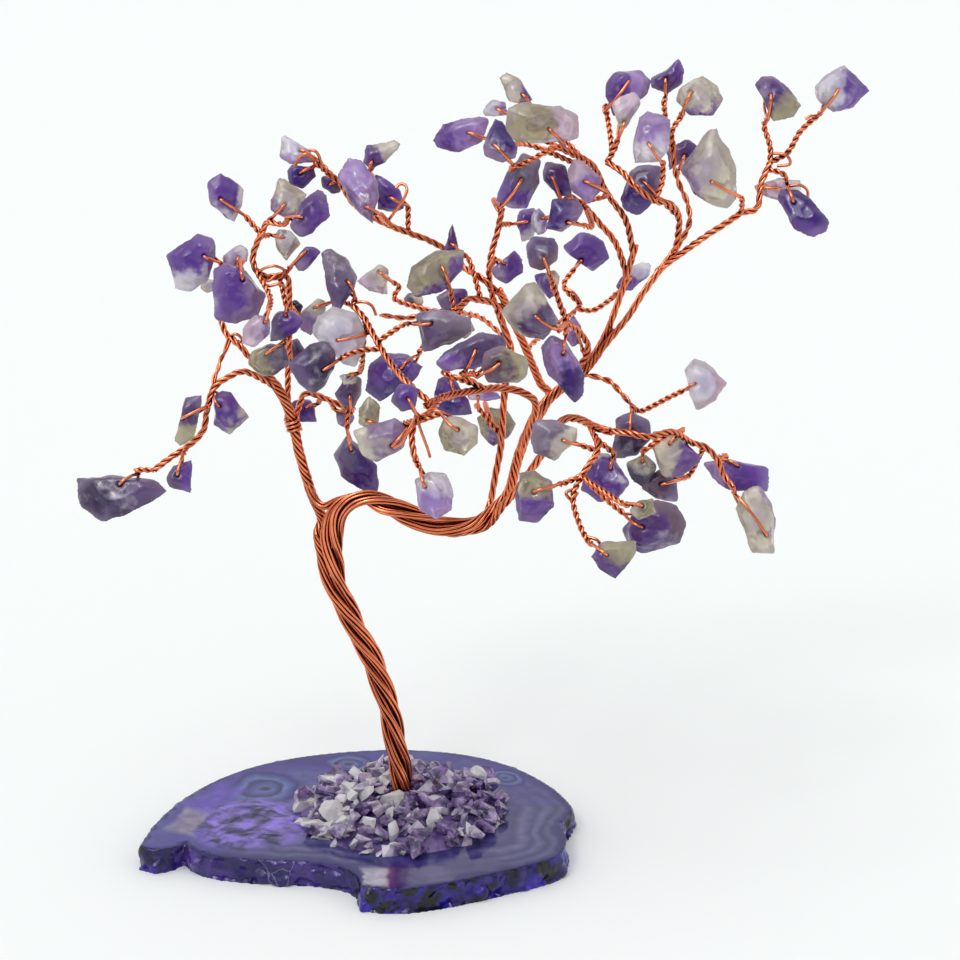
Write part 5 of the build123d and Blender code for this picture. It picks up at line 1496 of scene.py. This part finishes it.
class GEMTREE_OT_chips(bpy.types.Operator):
    """Tumbled amethyst chips, rounded from the drilled ones, each with its own two tones"""

    bl_idname = "gemtree.chips"
    bl_label = "Chips"

    def execute(self, context):
        settings = context.scene.gem_tree
        _, twigs = lay_out_tree()
        group = stone_group()
        materials = [
            stone_material(name, group, clearness, roughness) for _, name, clearness, roughness in CHIP_LOOKS]
        swell = relief("swell", "CLOUDS", SWELL_GRAIN)
        nicks = relief("nicks", "VORONOI", NICK_GRAIN)
        depth = settings.chip_relief
        for sprig, _, chips in twigs:
            piece = copy_node(f"{sprig.name}_chips", f"{sprig.name}_stones")
            add_modifier(piece, "REMESH", mode="VOXEL", voxel_size=settings.chip_voxel)
            add_modifier(piece, "SMOOTH", factor=SMOOTHING, iterations=settings.chip_rounding)
            add_modifier(piece, "DISPLACE", texture=swell, strength=depth, mid_level=SWELL_LEVEL)
            add_modifier(piece, "DISPLACE", texture=nicks, strength=depth * NICK_SHARE, mid_level=NICK_LEVEL)
            add_modifier(piece, "SMOOTH", factor=SMOOTHING, iterations=LAST_PASSES)
            self.paint(piece.data, chips)
            for material in materials:
                piece.data.materials.append(material)
            bpy.ops.object.shade_smooth()
            slot = CHIP_LOOKS[piece.data.polygons[0].material_index][0]
            hand_over(piece, slot, f"{sprig.name}_chips")
        return {"FINISHED"}

    def paint(self, mesh, chips):
        """Give each vertex the two tones of its chip and its place between them, and each face its kind."""
        places = np.empty(len(mesh.vertices) * 3, np.float32)
        mesh.vertices.foreach_get("co", places)
        places = places.reshape(-1, 3) / MM
        away = []
        zones = []
        hearts = []
        for chip in chips:
            local = (places - np.array(chip.middle)) @ np.array(chip.axes)
            away.append(np.linalg.norm(local / np.array(chip.extent), axis=1))
            # The heart mask is one at a chip's middle and falls towards the rim; it carries the painted shade
            # of the middle and the painted glow of the rim.
            hearts.append(1 - np.linalg.norm(local[:, :2] / np.array(chip.extent.xy), axis=1))
            turn = radians(chip.stone.tones[2])
            way = np.array(RIGHT * cos(turn) + UP * sin(turn))
            shift = chip.stone.tones[3] if len(chip.stone.tones) > 3 else 0.0
            zones.append((places - np.array(chip.middle)) @ way / (chip.extent.x + chip.extent.y) * 2 - shift)
        owner = np.argmin(np.array(away), axis=0)
        rows = np.arange(len(owner))
        for attribute, values in (("zone", zones), ("heart", hearts)):
            mesh.attributes.new(attribute, "FLOAT", "POINT").data.foreach_set(
                "value", np.array(values)[owner, rows].astype(np.float32))
        for attribute, index in (("tone_a", 0), ("tone_b", 1)):
            tones = np.array([linear(TONES[chip.stone.tones[index]]) for chip in chips])[owner]
            mesh.attributes.new(attribute, "FLOAT_COLOR", "POINT").data.foreach_set(
                "color", tones.astype(np.float32).ravel())
        kinds = []
        for chip in chips:
            tone = chip.stone.tones[0]
            kind = SMOKY_KIND if tone in SMOKY_TONES else DEEP_KIND
            kinds.append(CLEAR_KIND if tone in CLEAR_TONES else kind)
        for face in mesh.polygons:
            face.material_index = kinds[owner[face.vertices[0]]]


class GEMTREE_OT_stage(bpy.types.Operator):
    """White paper floor, soft light and the camera"""

    bl_idname = "gemtree.stage"
    bl_label = "Stage"

    def execute(self, context):
        settings = context.scene.gem_tree
        scene = context.scene
        bpy.ops.object.select_all(action="DESELECT")
        bpy.ops.mesh.primitive_plane_add(size=FLOOR_SIZE, location=(0, 0, 0))
        floor = context.object
        floor.name = "paper_floor"
        floor.data.materials.append(floor_material(settings.paper))
        small_spread = radians(SMALL_LAMP_SPREAD)
        for name, place, turn, energy, spread in (
                ("softbox", SOFTBOX_PLACE, SOFTBOX_TURN, settings.sun, settings.sun_spread),
                ("small_lamp", SMALL_LAMP_PLACE, SMALL_LAMP_TURN, settings.sparkle, small_spread)):
            bpy.ops.object.light_add(type="SUN", location=place, rotation=[radians(angle) for angle in turn])
            light = context.object
            light.name = name
            light.data.energy = energy
            light.data.angle = spread
        bpy.ops.object.camera_add(location=EYE * MM, rotation=(radians(90 - VIEW_PITCH), 0, 0))
        camera = context.object
        camera.data.sensor_width = SENSOR
        camera.data.lens = SENSOR * VIEW_DISTANCE / (MM_PER_PX * PICTURE_SIDE)
        scene.camera = camera
        scene.view_settings.view_transform = "Standard"
        world = bpy.data.worlds.new("white_room")
        scene.world = world
        world.use_nodes = True
        back = world.node_tree.nodes["Background"]
        back.inputs["Color"].default_value = (1, 1, 1, 1)
        tree = world.node_tree
        rays = tree.nodes.new("ShaderNodeLightPath").outputs
        seen = sum_up(tree, rays["Is Camera Ray"], rays["Is Transmission Ray"], "MAXIMUM")
        strength = span(tree, seen, 0, 1, settings.sky, WHITE_WALLS)
        toward = tree.nodes.new("ShaderNodeTexCoord").outputs["Generated"]
        room = compare_vectors(tree, toward, ROOM_WAY, "DOT_PRODUCT")
        shine = span(tree, room, *ROOM_EDGES, WHITE_WALLS, settings.room)
        lamp = compare_vectors(tree, toward, LAMP_WAY, "DOT_PRODUCT")
        shine = sum_up(tree, shine, span(tree, lamp, *LAMP_EDGES, .0, settings.glint))
        blend = add_node(tree, "ShaderNodeMix", {0: rays["Is Glossy Ray"], 2: strength, 3: shine})
        tree.links.new(blend.outputs[0], back.inputs["Strength"])
        return {"FINISHED"}


class GEMTREE_PT_panel(bpy.types.Panel):
    """Steps of the tree"""

    bl_label = "Gemstone Tree"
    bl_idname = "GEMTREE_PT_panel"
    bl_space_type = "VIEW_3D"
    bl_region_type = "UI"
    bl_category = "Gemstone Tree"

    def draw(self, context):
        for operator in OPERATORS:
            self.layout.operator(operator.bl_idname)
        for name in GemTreeSettings.__annotations__:
            self.layout.prop(context.scene.gem_tree, name)


OPERATORS = (
    GEMTREE_OT_slice, GEMTREE_OT_gravel, GEMTREE_OT_frame, GEMTREE_OT_twigs, GEMTREE_OT_chips,
    GEMTREE_OT_stage)


def register():
    """Make the settings, the steps and the panel known."""
    bpy.utils.register_class(GemTreeSettings)
    for operator in OPERATORS:
        bpy.utils.register_class(operator)
    bpy.utils.register_class(GEMTREE_PT_panel)
    bpy.types.Scene.gem_tree = bpy.props.PointerProperty(type=GemTreeSettings)


def unregister():
    """Take them away again."""
    del bpy.types.Scene.gem_tree
    bpy.utils.unregister_class(GEMTREE_PT_panel)
    for operator in reversed(OPERATORS):
        bpy.utils.unregister_class(operator)
    bpy.utils.unregister_class(GemTreeSettings)


def main():
    """Build every piece and the stage."""
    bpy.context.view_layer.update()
    register()
    bpy.ops.gemtree.slice()
    bpy.ops.gemtree.gravel()
    bpy.ops.gemtree.frame()
    bpy.ops.gemtree.twigs()
    bpy.ops.gemtree.chips()
    bpy.ops.gemtree.stage()


if __name__ == "__main__":
    main()
